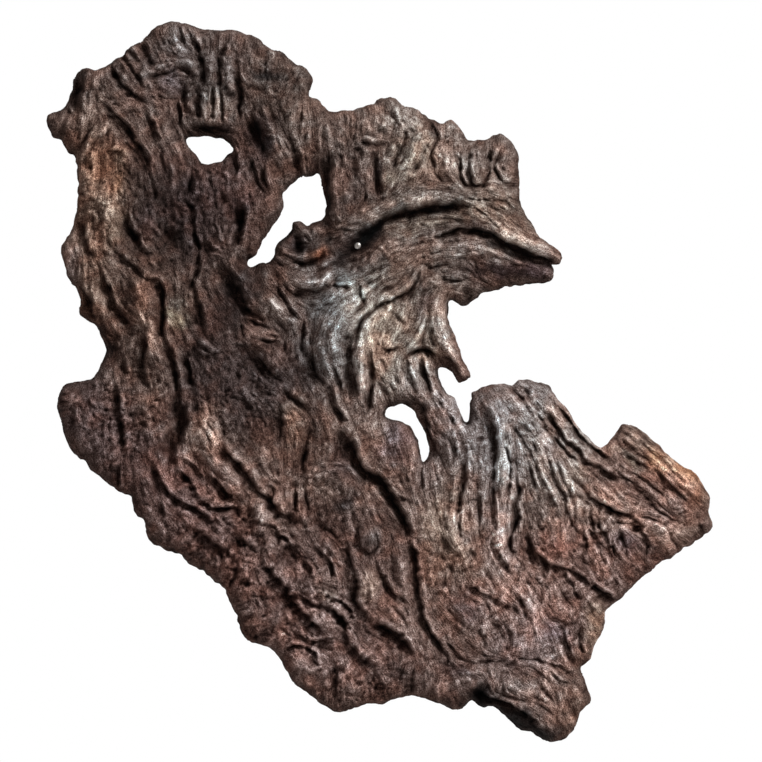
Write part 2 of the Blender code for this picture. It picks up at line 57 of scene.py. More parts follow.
MOST_TRIANGLES = 194000

# In squares: the fields' size, and the heights and reaches of the plain wood and the screw's seat
SIDE = 768
BODY = 40
RIM_SHARE = 0.42
RIM_REACH = 27
THINNEST = 11
EDGE_FADE = 9
HIGHEST = 62.0
HIGHEST_FADE = 8
SCREW_AT = (357.6, 246.0)
SEAT_RADIUS = 4.9
SEAT_FADE = 3
FIBRE_REACHES = (4, 9, 20, 45)
VIEW_MIDDLE = 381

# In metres: a square of height, the plate, the back's lift towards the rim, the screw and the view
DEPTH = 0.0012
PLATE = BODY * DEPTH
BACK_LIFT = 0.008
BACK_LIFT_REACH = 0.016
INSIDE = 0.00005
NEARLY_FLAT = 0.0004
SAWN_REACH = 0.0025
SCREW_HEAD_HEIGHT = 0.0031
SCREW_HEAD_GAP = 0.0003
SCREW_WAY_RADIUS = 0.0023
FLOOR_LEVEL = -0.8
CAMERA_AWAY = 6.0
FRAME_WIDTH = 0.9158

# Where the key light comes from, across and up, for the steeper sides of folds and for the painted shade on rims
# that face away from it
LIGHT_ACROSS = 0.5
LIGHT_UP = 0.85

# Colours: the plain wood's as on a screen, and what the tone with its painted shade and highlights, warm patches and
# the whole do to red, green and blue
PLAIN_TINT = (94, 73, 64)
TINT_CONTRAST = 1.08
SHADE = np.array([0.87, 1.0, 1.05])
WARMTH = np.array([1.0, -0.25, -0.8])
BALANCE = np.array([0.985, 0.995, 1.05])
EXPOSURE = 1.02
AMBIENT = 0.32

# The slab's outline and its holes, across and down in turn
OUTLINE = (
    76, 158, 69, 152, 61, 140, 53, 137, 47, 122, 48, 115, 60, 109.5, 67, 106, 71, 93, 75, 78, 83, 67.5, 95, 68, 103,
    67.5, 110, 63.5, 124, 53, 131, 45.5, 143, 40, 155, 28, 169, 21, 184, 22, 197, 27, 206, 29, 226, 29, 246, 32.5,
    260, 37.5, 268, 46, 283, 52, 294, 61, 304, 65, 311, 74, 314, 80, 311, 91, 310, 96, 318, 98.5, 330, 109, 348, 110,
    368, 105, 382, 98, 393, 97, 406, 105, 414, 107, 424, 114, 440, 122, 452, 119.5, 462, 130, 468, 140, 481, 139,
    497, 134, 503, 134, 514, 144, 519, 155, 519, 166, 521, 181, 521, 200, 529, 217, 541, 236, 557, 248, 563, 256,
    561, 263, 554, 264, 550, 263, 553, 267.5, 555, 275, 550, 282, 534, 284, 515, 286, 500, 290.5, 484, 292.5, 478,
    299, 466, 306, 456, 303, 450.5, 301.5, 450, 311, 451, 324, 458, 343, 464, 360, 471.5, 374, 470, 379, 460.5,
    383.5, 455, 380, 452, 372, 440, 368, 440, 379.5, 446, 391, 455, 398, 459, 407, 464.5, 420.5, 469, 422, 470.5,
    414, 470.3, 396, 478, 390, 489, 385.5, 506.5, 384, 513, 385, 520, 379, 534, 381, 550, 386, 558, 398, 568, 410,
    580, 427.5, 590.5, 438, 600, 446, 606, 443.5, 614, 437, 622.5, 424.5, 633.5, 425.5, 647, 434.5, 660, 446, 674.5,
    459.5, 685, 467, 693, 471, 703.5, 485, 710.5, 499.5, 708.5, 512, 713, 525, 705, 535, 688, 547.5, 676.5, 556,
    660.5, 564.5, 638.5, 581.5, 626.5, 595, 608, 609.5, 605, 616, 604, 628, 593.5, 650.5, 590, 661, 581.5, 667, 583,
    675, 590.5, 694.5, 591, 704, 581.5, 712.5, 575.5, 728.5, 562, 741, 546, 741.5, 531.5, 732, 521, 730, 502.5, 714,
    493, 706.5, 483, 708.5, 472, 700.5, 459, 711, 434.5, 702, 412.5, 695.5, 393, 701, 381, 705, 367, 704, 348.5,
    712.5, 336, 712, 313.5, 698, 302.5, 688.5, 292, 682, 282, 661.5, 271, 649.5, 248, 640, 239.5, 624, 228.5, 597,
    221, 586, 199, 569, 188, 564, 177.5, 555, 154.5, 544, 148, 534, 145, 521, 136, 515, 133, 503, 131, 496, 116.5,
    490.5, 105, 480, 92.5, 471, 87, 461, 79, 458, 67, 439.5, 58.5, 407.5, 59, 396, 66, 384, 91, 379, 99, 369, 107.5,
    350, 97, 328, 82.5, 316, 79, 309, 81.5, 301.5, 77, 288, 70.5, 282, 62.5, 252.5, 65, 242, 73, 229, 77, 205, 78,
    186,
)
HOLES = (
    (188, 139, 200, 137, 220, 138, 228, 141, 233, 149.5, 225, 156.5, 211, 164.5, 202, 159, 193, 149),
    (319, 173.5, 323, 187, 326, 203, 323, 218, 308, 224.5, 300, 220.5, 293.5, 222, 291, 232, 277, 245.5, 271.5, 260,
     262.5, 262.5, 252, 267.5, 249, 261, 257.5, 254, 265, 240.5, 283, 211.5, 284, 194.5, 292, 185, 304, 178, 313,
     177),
    (385.5, 414.5, 390, 408, 402.5, 405, 414, 410, 418.5, 421, 428, 441, 429, 452, 424, 462.5, 421.5, 457, 419, 441,
     411, 426.5, 402, 422, 390, 419),
)

# Swells and hollows: centre across and down, half sizes, turn in degrees, rise
SWELLS = (
    (470, 215, 85, 60, 28, 17), (405, 255, 62, 42, 0, 14), (492, 163, 34, 30, 0, 7), (345, 325, 38, 78, -20, 15),
    (388, 342, 34, 44, 0, 9), (150, 320, 26, 85, -12, 8), (165, 222, 50, 52, 0, -12), (98, 225, 32, 85, 0, 6),
    (120, 95, 50, 55, 0, 6), (225, 66, 62, 40, 0, 6), (230, 560, 100, 62, 40, 7), (505, 450, 62, 78, 0, 11),
    (582, 478, 68, 50, 35, 11), (652, 492, 58, 44, 30, 3), (400, 560, 66, 90, 0, 8), (556, 545, 32, 30, 0, 8),
    (540, 695, 56, 48, 0, 8), (300, 470, 60, 80, 0, -3), (82, 415, 30, 42, 0, 6), (58, 122, 13, 13, 0, 6),
    (332, 125, 14, 14, 0, 5), (415, 150, 13, 18, 0, 4), (426, 178, 15, 17, 0, 4), (450, 165, 9, 14, 0, 4),
    (480, 163, 8, 17, 0, 5), (507, 166, 9, 14, 0, 5), (321, 249, 15, 11, 0, 8), (270, 212, 14, 15, 0, 6),
    (230, 167, 9, 10, 0, 4), (402, 439, 17, 21, 0, 7), (369, 533, 9, 14, 0, 9), (470, 532, 10, 11, 0, 6),
    (306, 668, 16, 15, 0, 5), (352, 676, 16, 14, 0, 5), (327, 673, 11, 11, 0, 4), (283, 643, 12, 12, 0, 5),
    (284, 500, 11, 16, 0, 6), (177, 324, 10, 13, 0, 5), (148, 228, 11, 18, 0, 5), (170, 238, 14, 13, 0, -5),
    (165, 125, 12, 20, 0, 4), (305, 82, 12, 16, 0, 4), (388, 174, 12, 16, 0, 4), (450, 130, 11, 10, 0, 4),
    (306, 584, 8, 15, 0, -5), (300, 245, 22, 16, -35, -13), (171, 446, 9, 17, 0, -11), (110, 85, 10, 10, 0, 4),
    (168, 88, 12, 12, 0, 4), (552, 628, 12, 12, 0, -4), (592, 628, 14, 20, 0, 4), (443, 482, 10, 12, 0, 4),
    (505, 275, 20, 9, 5, -7), (244, 352, 14, 12, 0, -5), (430, 572, 12, 16, 0, 4), (330, 590, 16, 18, 0, 4),
    (660, 488, 12, 9, 30, -6), (609, 481, 13, 10, 0, -7), (480, 694, 8, 14, 0, -14), (215, 375, 20, 24, 0, 4),
    (250, 425, 16, 18, 0, 4), (515, 640, 12, 18, 0, 3), (262, 342, 20, 12, 30, 4),
)

# Grooves: width, depth, then the points along each, across and down in turn
GROOVES = (
    (6, 7, 84, 82, 78, 97, 73, 110), (5, 8, 98, 124, 85, 142, 76, 154), (4, 8, 111, 64, 120, 78, 128, 89, 146, 102),
    (5, 9, 104, 102, 128, 128, 140, 148, 155, 170), (4, 8, 146, 115, 157, 131, 162, 145), (4, 7, 146, 43, 154, 66),
    (4, 7, 122, 54, 138, 76, 144, 86), (4, 6, 133, 50, 144, 66), (4, 7, 149, 79, 166, 75, 184, 69, 196, 78),
    (4, 6, 112, 131, 92, 152, 96, 178), (4, 8, 287, 131, 296, 148, 303, 162), (4, 7, 254, 157, 259, 183, 269, 195),
    (6, 7, 184, 82, 186, 100, 190, 116), (4, 8, 191, 32, 203, 60, 206, 88), (4, 7, 223, 50, 222, 70, 222, 88),
    (4, 7, 239, 64, 239, 78, 243, 92, 240, 120), (8, 12, 188, 127, 210, 129, 234, 131),
    (13, 18, 250, 112, 258, 128, 264, 146, 261, 160), (6, 7, 268, 70, 268, 82), (5, 6, 302, 105, 303, 118, 300, 135),
    (9, 14, 331, 150, 328, 170, 329, 200, 329, 216, 340, 226), (6, 8, 297, 150, 298, 162, 302, 172),
    (7, 11, 128, 203, 128, 218, 136, 240, 148, 260), (5, 7, 142, 160, 152, 173), (6, 7, 165, 163, 172, 181),
    (8, 10, 193, 172, 191, 188, 186, 199), (3, 8, 188, 199, 197, 212, 196, 226, 202, 251, 200, 270, 190, 292),
    (5, 8, 88, 216, 87, 240, 95, 258), (8, 10, 78, 284, 88, 297, 97, 320),
    (6, 9, 104, 276, 110, 292, 118, 308, 133, 325, 133, 340), (5, 9, 118, 255, 138, 271, 152, 284),
    (6, 11, 150, 276, 158, 284, 164, 303, 163, 329, 172, 356, 178, 380, 176, 396),
    (5, 8, 145, 320, 147, 347, 144, 364, 148, 387), (7, 8, 197, 298, 200, 315, 202, 334),
    (5, 10, 117, 384, 119, 400, 125, 436, 123, 458), (9, 14, 178, 388, 184, 410, 183, 426, 176, 447, 172, 470),
    (4, 11, 153, 464, 162, 478, 173, 495, 201, 509, 214, 524), (6, 10, 193, 528, 205, 534, 222, 550, 238, 559),
    (4, 7, 205, 548, 201, 568), (10, 15, 222, 262, 238, 288, 248, 308, 266, 322), (9, 11, 243, 320, 243, 337),
    (13, 17, 250, 348, 262, 362, 281, 384), (6, 9, 282, 388, 298, 402, 309, 408),
    (6, 8, 281, 404, 282, 428, 280, 442), (5, 8, 313, 427, 306, 448, 304, 472), (5, 8, 304, 320, 305, 340, 303, 356),
    (11, 10, 313, 345, 316, 375, 327, 383), (5, 10, 329, 384, 334, 402, 348, 422),
    (7, 10, 243, 205, 243, 222, 238, 246), (5, 8, 263, 163, 266, 180, 270, 195),
    (5, 8, 276, 287, 285, 303, 298, 318), (7, 9, 290, 259, 310, 262, 332, 254),
    (14, 17, 330, 258, 346, 256, 362, 243, 384, 224, 404, 215, 438, 207.5, 474, 208),
    (4, 12, 432, 240, 448, 235, 462, 231, 474, 231, 490, 234, 505, 242, 520, 249, 540, 257, 556, 263),
    (9, 15, 488, 237, 507, 246, 524, 253, 552, 264), (3, 3, 473, 245, 478, 275),
    (3, 5, 484, 252, 501, 260, 523, 267, 544, 263),
    (4, 8, 484, 141, 474, 146, 469, 162, 472, 182, 482, 184, 491, 168, 490, 148),
    (4, 8, 502, 152, 496, 168, 501, 181, 514, 181), (7, 7, 374, 150, 377, 170, 380, 182, 381, 200),
    (4, 6, 410, 128, 404, 146, 398, 158, 396, 172), (4, 6, 440, 140, 432, 152, 436, 172, 446, 184),
    (3, 5, 418, 160, 414, 176, 406, 188), (4, 6, 404, 124, 416, 136), (4, 6, 360, 143, 388, 145),
    (4, 4, 378, 240, 369, 255, 372, 268),
    (2.4, 10, 420, 272, 417, 281, 409, 291, 403, 293.5, 392, 299.5, 379, 307, 369, 315, 361, 324, 355, 335),
    (8, 14, 357, 331, 352, 345, 351, 358, 352, 371, 356, 384, 358, 396), (7, 9, 372, 360, 373, 385, 369, 415),
    (7, 9, 391, 311, 405, 325), (9, 10, 419, 343, 434, 351), (8, 11, 440, 352, 453, 361, 461, 381),
    (5, 7, 420, 363, 433, 390), (8, 15, 341, 430, 354, 450, 364, 469, 382, 482, 398, 508, 408, 525, 409, 538),
    (4.5, 12, 409, 538, 415, 556, 416, 572, 420, 596, 423, 616, 434, 638, 448, 656), (5, 6, 340, 482, 346, 496),
    (5, 9, 402, 402, 423, 405, 428, 432, 441, 458), (8, 8, 486, 408, 494, 430, 494, 455, 493, 480),
    (3, 7, 495, 462, 494, 481, 493.5, 499, 495, 513, 497, 530),
    (2, 6, 503, 446, 507, 452, 510, 466, 509, 484, 507, 499, 507, 512),
    (3.5, 10, 517, 479, 518, 488, 516, 502, 519, 511, 517, 526, 512.5, 537, 512.5, 553),
    (2, 6, 536, 461, 540.5, 473, 547, 486, 552, 497, 556, 508),
    (2.5, 8, 548.5, 459, 554, 473, 560.5, 488, 564, 497, 568, 513, 572, 525, 579, 531),
    (3.5, 9, 549, 414, 561, 432, 576, 448, 587, 461, 599, 468, 610, 475, 619, 479),
    (4, 9, 558, 406, 572, 424, 583, 439, 596, 450, 608, 459), (5, 8, 516, 384, 537, 404), (5, 8, 621, 450, 646, 468),
    (3, 5, 631, 480, 652, 498), (3, 6, 653, 469, 668, 484, 684, 500),
    (2.5, 7, 610, 521, 627, 523, 640, 530, 648, 541, 646, 557), (2, 6, 596, 520, 606, 538, 612, 556),
    (2, 6, 588, 528, 598, 545, 602, 562), (3, 6, 573, 508, 574, 530),
    (3, 9, 466, 460, 464, 480, 461, 504, 459, 520, 460, 536), (5, 8, 531, 540, 540, 572),
    (3, 9, 529, 535, 537, 552, 548, 562, 566, 568, 590, 582, 603, 592, 616, 601),
    (3, 7, 564, 568, 571, 585, 578, 600), (3, 7, 468, 584, 495, 598, 520, 610, 530, 617),
    (5, 8, 515, 592, 529, 616, 533, 622), (2, 4.5, 450, 650, 468, 660, 500, 660, 537, 659, 575, 672),
    (3.5, 7, 445, 641, 465, 659), (8, 13, 412, 676, 410, 696), (6, 10, 370, 618, 400, 636, 412, 656),
    (6, 11, 330, 605, 345, 625, 350, 643, 373, 664), (5, 11, 347, 546, 357, 576, 354, 600, 367, 613),
    (6, 13, 262, 558, 266, 568, 284, 585, 289, 600, 312, 620, 324, 631), (5, 8, 383, 572, 390, 590, 406, 600),
    (5, 8, 300, 650, 317, 664), (6, 8, 376, 672, 388, 692), (5, 9, 317, 520, 333, 533, 341, 541),
    (5, 8, 326, 543, 334, 562), (5, 9, 287, 545, 300, 566),
    (6, 13, 218, 442, 224, 450, 240, 464, 257, 489, 274, 503, 281, 514, 303, 521), (5, 7, 405, 664, 398, 682),
    (3, 7, 361, 524, 361, 541, 370, 552, 378, 546), (4, 6, 190, 352, 192, 370, 196, 386),
    (4, 6, 240, 396, 248, 401, 256, 409), (4, 6, 236, 368, 241, 382), (4, 5, 222, 412, 226, 430, 224, 444),
    (4, 6, 562, 624, 568, 645, 577, 664), (4, 5, 578, 626, 582, 650, 588, 662), (4, 5, 484, 612, 481, 628, 484, 642),
    (4, 5, 500, 620, 510, 634, 506, 652),
)

# Ridges: width, rise, points
RIDGES = (
    (11, 7, 108, 125, 90, 150, 85, 175, 84, 200), (11, 7, 115, 165, 113, 200, 118, 235, 128, 256),
    (7, 5, 100, 255, 116, 288), (11, 10, 138, 276, 146, 310, 155, 345, 170, 372, 166, 412),
    (8, 6, 88, 258, 93, 290, 101, 313), (15, 12, 196, 425, 215, 455, 237, 482, 258, 498, 268, 524, 254, 550),
    (8, 7, 262, 288, 275, 308, 297, 325, 298, 350), (6, 5, 283, 404, 303, 418),
    (13, 9, 372, 287, 350, 300, 334, 322, 329, 350, 335, 378),
    (3.5, 6, 421, 267, 416, 277, 411, 285, 403, 289.5, 390, 295, 377, 302, 368, 309, 359, 318, 352, 328, 346, 341),
    (6, 6, 395, 305, 376, 320, 364, 345, 364, 385), (9, 6, 440, 292, 435, 318, 446, 346, 464, 376),
    (6, 5, 424, 323, 414, 343, 402, 354),
    (6, 4, 362, 228, 384, 218, 403, 205, 430, 201, 463, 202, 486, 219, 512, 235, 536, 247, 560, 257),
    (7, 5, 372, 236, 400, 224, 440, 221, 470, 222, 500, 233, 522, 243), (7, 5, 455, 251, 490, 251, 520, 265),
    (4, 8, 490, 405, 496, 421, 500, 434, 502, 444), (5, 4, 502, 446, 502, 470, 501, 508, 500, 545, 514, 570),
    (9, 6, 447, 405, 462, 425, 474, 455), (9, 7, 450, 500, 452, 532, 468, 558),
    (9, 6, 398, 540, 402, 565, 402, 582, 406, 597), (10, 7, 362, 563, 370, 582, 370, 604),
    (7, 5, 315, 611, 330, 624, 340, 637), (6, 5, 330, 601, 350, 615, 362, 621), (9, 6, 640, 444, 670, 470, 699, 500),
    (7, 7, 584, 484, 600, 500, 625, 511, 655, 517, 674, 535, 684, 545), (5, 3, 656, 456, 680, 476, 706, 496),
    (6, 4, 392, 102, 403, 126, 398, 146, 390, 160), (7, 6, 424, 134, 416, 152, 406, 170, 398, 186),
    (6, 6, 444, 148, 446, 164, 454, 180), (6, 5, 364, 150, 362, 168, 366, 186), (5, 6, 319, 267, 342, 254),
    (5, 5, 294, 272, 306, 284, 318, 286, 336, 270), (6, 5, 320, 530, 332, 558), (5, 5, 255, 464, 262, 480, 276, 484),
    (8, 6, 178, 506, 190, 516, 186, 530), (7, 5, 195, 517, 214, 538), (6, 6, 243, 366, 262, 380, 280, 391),
    (6, 4, 518, 655, 524, 636, 527, 618), (6, 4, 545, 655, 543, 638, 537, 626), (7, 4, 212, 372, 214, 392, 208, 408),
)

# Steps: rise of the upper side, drop of the lower side, reach, points with the drop on their right
STEPS = (
    (3, 9, 16, 674, 546, 664, 529, 650, 521, 623, 516, 600, 505, 581, 488),
    (1, 4, 14, 562, 739, 548, 714, 524, 701, 497, 698),
)

# Finer creases: width, depth, points
CREASES = (
    (3, 4, 143, 41, 147, 48, 152, 58, 156, 66), (3, 4, 182, 34, 190, 52, 196, 57), (3, 3, 196, 40, 200, 52),
    (3, 4, 158, 96, 164, 99, 180, 99), (3, 4, 126, 140, 139, 155, 145, 165), (3, 3, 108, 152, 124, 150),
    (3, 3, 84, 103, 86, 115), (3, 4, 226, 86, 236, 98), (3, 4, 222, 50, 220, 62, 223, 90), (3, 3, 247, 88, 241, 102),
    (2, 5, 201, 92, 201, 122), (2, 5, 215, 90, 215, 122), (2, 5, 224, 94, 224, 124), (2.5, 5, 180, 102, 183, 131),
    (3, 3, 301, 95, 310, 115), (3, 4, 284, 140, 292, 152), (3, 4, 408, 140, 402, 150, 401, 158),
    (3, 4, 353, 160, 358, 178), (3, 4, 346, 172, 350, 180), (3, 4, 430, 122, 440, 138),
    (3, 5, 459, 160, 460, 172, 464, 183, 470, 186), (2, 2, 460, 199, 490, 202, 505, 202, 515, 215),
    (2, 3, 466, 203, 486, 217, 503, 232), (3, 4, 440, 279, 465, 280), (3, 4, 347, 264, 359.5, 256),
    (2.5, 6, 361, 286, 362, 298, 365, 305), (2.5, 6, 383, 348, 393, 349.5, 401, 346), (3, 4, 422, 254, 424, 261),
    (3, 4, 422, 265, 432, 269, 440, 262), (2.5, 6, 406, 356, 409.5, 372, 413, 382, 416, 391),
    (2.5, 6, 421, 353, 424, 366, 429, 382, 432, 392), (4, 8, 406, 357, 419, 350, 429, 350, 440, 356),
    (2.5, 5, 432, 320, 432, 334, 435, 345), (2.5, 6, 371, 349, 374, 366, 377, 379, 390, 393),
    (3, 4, 334, 366, 345, 394), (3, 5, 300, 292, 319, 292, 332, 286, 350, 288), (4, 6, 397, 496, 409, 499),
    (3, 4, 340, 446, 335, 458), (3, 3, 334, 466, 348, 466), (3, 4, 423, 467, 423, 489, 426, 492),
    (3, 4, 440, 400, 445, 409), (3, 4, 447, 411, 460, 433), (3, 4, 450, 436, 460, 458), (3, 4, 523, 482, 522, 489),
    (3, 4, 534, 413, 547, 425, 559, 438), (2.5, 5, 540, 419, 550, 432, 561, 444, 568, 453, 576, 461),
    (4, 8, 583, 490, 592, 499, 605, 506, 619, 513, 634, 521, 642, 527), (2.5, 5, 480, 495, 481, 510, 480, 525),
    (2.5, 6, 530, 535, 533, 553), (2, 4, 514, 427, 523, 440, 532, 459), (2, 4, 524, 424, 532, 437, 538, 452),
    (2, 4, 527, 462, 534, 480, 540, 500), (2, 4, 556, 462, 566, 480, 573, 498), (2, 4, 590, 511, 594, 531),
    (3, 6, 616, 531, 627, 549), (3, 4, 511, 385, 527, 405), (2.5, 3, 546, 413, 553, 419),
    (2.5, 3, 565, 452, 576, 459), (3, 3, 471, 423, 476, 431), (2.5, 3, 458, 501, 471, 501),
    (2.5, 3, 471, 500, 481, 500), (2.5, 3, 480.5, 500, 480.5, 506), (2.5, 3, 621, 441, 637, 453, 646, 458),
    (3, 4, 573, 490, 579, 497), (3, 4, 621, 533, 626, 554), (3, 3, 669, 530, 676, 541), (3, 3, 681, 540, 686, 544),
    (3, 3, 696, 522, 704, 535), (3, 3, 701, 507, 708, 508), (2, 4, 590, 510, 594, 530), (3, 4, 600, 543, 606, 552),
    (3, 4, 584, 530, 585, 545, 583, 555), (3, 4, 153, 185, 163, 198), (4, 6, 105, 278, 120, 312),
    (3, 7, 233, 150, 237, 158, 238, 178), (3, 4, 257, 265, 252, 272, 247, 280), (3, 4, 108, 336, 124, 336),
    (3, 4, 119, 340, 119, 352), (4, 4, 79, 405, 79, 430), (3, 4, 60, 401, 72, 401), (3, 4, 104, 385, 108, 392),
    (3, 4, 245, 318, 268, 328), (3, 4, 258, 340, 278, 341), (4, 5, 190, 345, 205, 356, 222, 352),
    (2, 3, 208, 422, 215, 430, 220, 440), (3, 4, 120, 465, 121, 480, 120, 488), (3, 4, 157, 475, 164, 494),
    (3, 4, 162, 500, 166, 516), (3, 4, 147, 525, 156, 543), (3, 4, 165, 545, 185, 558),
    (3, 4, 185, 458, 193, 462, 208, 478), (3, 4, 316, 500, 321, 518), (2, 6, 296, 488, 297, 512),
    (2, 5, 274, 488, 274, 510), (2.5, 6, 210, 470, 228, 492, 236, 500), (2.5, 5, 232, 505, 246, 520, 262, 516),
    (2.5, 6, 270, 530, 290, 540, 300, 556), (2.5, 6, 300, 598, 318, 606, 330, 604),
    (2.5, 6, 372, 620, 392, 634, 408, 646), (2, 3, 630, 472, 650, 484, 664, 497),
    (2, 3, 612, 470, 632, 484, 650, 500), (2, 3, 640, 440, 664, 462, 684, 482), (2, 3, 645, 500, 660, 512, 676, 522),
    (3, 3, 306, 488, 312, 520), (5, 6, 243, 535, 238, 555), (3, 3, 283, 523, 281, 530), (3, 3, 307, 520, 306, 530),
    (3, 4, 250, 575, 242, 595), (3, 3, 244, 578, 240, 590), (2, 3, 250, 590, 262, 597, 270, 598),
    (3, 4, 303, 570, 306, 585), (3, 4, 325, 605, 341, 618, 346, 625), (3, 3, 266, 612, 263, 620),
    (3, 4, 245, 625, 253, 625), (3, 4, 256, 630, 256, 640), (3, 4, 288, 664, 300, 675), (3, 4, 440, 535, 455, 551),
    (3, 3, 437, 520, 440, 530), (3, 3, 441, 552, 447, 558), (3, 3, 448, 560, 451, 568, 449, 575),
    (3, 3, 478, 525, 480, 540), (4, 5, 468, 547, 474, 555), (1.5, 2, 447, 605, 462, 622),
    (2, 3, 448, 655, 443, 672, 440, 680), (3, 4, 337, 660, 337, 700), (3, 3, 490, 540, 503, 560, 513, 575),
    (3, 3, 487, 518, 483, 522), (3, 3, 479, 530, 483, 540), (3, 4, 538, 553, 552, 567), (2, 3, 531, 582, 538, 592),
    (2, 3, 551, 620, 570, 622), (3, 4, 485, 620, 490, 613), (3, 3, 494, 622, 500, 628),
    (2, 3, 550, 668, 560, 680, 570, 681), (3, 4, 583, 680, 588, 697),
    (2.5, 7, 478, 690, 492, 698, 510, 702, 526, 712, 540, 722), (2.5, 6, 286, 653, 296, 646, 310, 650, 317, 660),
    (2.5, 6, 262, 520, 275, 527, 283, 540), (2.5, 6, 303, 556, 311, 566, 306, 580),
    (2.5, 6, 330, 596, 345, 604, 353, 617), (2.5, 6, 300, 634, 316, 641, 330, 637),
    (2.5, 6, 242, 560, 236, 574, 228, 586), (2.5, 6, 318, 548, 330, 560, 336, 575),
    (2.5, 6, 205, 500, 222, 508, 236, 506), (2.5, 6, 180, 470, 192, 482, 200, 496),
)

# Finer crests: width, rise, points
CRESTS = (
    (6, 4, 100, 70, 96, 85, 88, 100, 86, 115, 80, 130), (5, 3, 93, 105, 88, 120, 84, 132),
    (2.5, 4, 206, 90, 206, 121), (2.5, 4, 211, 90, 211, 120), (3, 4, 219, 92, 219, 122), (4, 4, 213, 52, 213, 84),
    (4, 5, 231, 64, 230, 90), (3, 4, 149, 73, 165, 68, 185, 63, 196, 71), (3, 4, 198, 340, 207, 342, 215, 346),
    (5, 4, 246, 108, 262, 125, 272, 130, 284, 150), (3, 2, 240, 76, 255, 83, 264, 88), (3, 2, 245, 80, 265, 90),
    (5, 3, 297, 100, 292, 120, 290, 135), (4, 2, 362, 226, 378, 224, 392, 210, 420, 206, 455, 202, 475, 209),
    (4, 4, 500, 228, 520, 240, 540, 249, 558, 258), (4, 3, 490, 243, 520, 262), (4, 4, 298, 228, 304, 233, 311, 240),
    (3, 3, 313, 240, 320, 225), (3, 4, 300, 284, 316, 284, 324, 281, 337, 269.5),
    (2.5, 4, 321, 268, 329, 261.5, 343, 255), (2.5, 3, 348, 266, 356, 261.5, 364, 255),
    (2.5, 4, 369, 334, 371, 353, 372.5, 372), (3, 4, 532, 414, 538, 425, 540, 444),
    (2, 4, 504, 451, 508, 466, 507, 484), (2.5, 4, 468, 212, 487, 221, 512, 237, 536, 248),
    (2.5, 5, 424, 325, 419, 335, 412, 342, 404, 352), (3, 2, 441, 300, 440, 325, 447, 343, 458, 362, 466, 378),
    (4, 3, 323.5, 300, 341, 286.5, 357.5, 280.5, 371, 271), (3, 3, 422, 271, 432, 269),
    (6, 4, 362, 364, 364, 385, 369, 400), (5, 3, 334, 380, 346, 366), (7, 5, 306, 484, 322, 474, 341, 469, 354, 478),
    (5, 4, 511, 471, 511, 491), (6, 4, 533, 414, 539, 432, 542, 452), (5, 3, 184, 217, 196, 238),
    (3, 2, 208, 256, 215, 258, 222, 256), (3, 3, 122, 295, 128, 303, 135, 310, 140, 315), (4, 3, 128, 350, 140, 346),
    (4, 3, 66, 405, 84, 398), (3, 3, 262, 308, 270, 316), (3, 3, 268, 300, 284, 316), (4, 3, 245, 393, 260, 404),
    (8, 4, 294, 408, 294, 438), (10, 4, 190, 418, 206, 432, 222, 450), (5, 3, 326, 385, 331, 415),
    (3, 3, 255, 465, 257, 472, 268, 482, 275, 482), (3, 3, 262, 460, 264, 470, 270, 473), (2, 4, 277, 490, 278, 512),
    (2, 4, 282, 487, 283, 512), (2, 4, 287, 487, 288, 512), (2, 4, 292, 489, 293, 511), (4, 3, 266, 500, 253, 530),
    (4, 3, 272, 502, 258, 528), (8, 3, 449, 508, 455, 535, 466, 556), (4, 3, 407, 657, 397, 672),
    (4, 3, 414, 665, 408, 672, 403, 685), (4, 3, 340, 670, 350, 688, 362, 682),
    (10, 3, 492, 508, 498, 535, 506, 558), (5, 3, 205, 302, 212, 320, 216, 335),
)

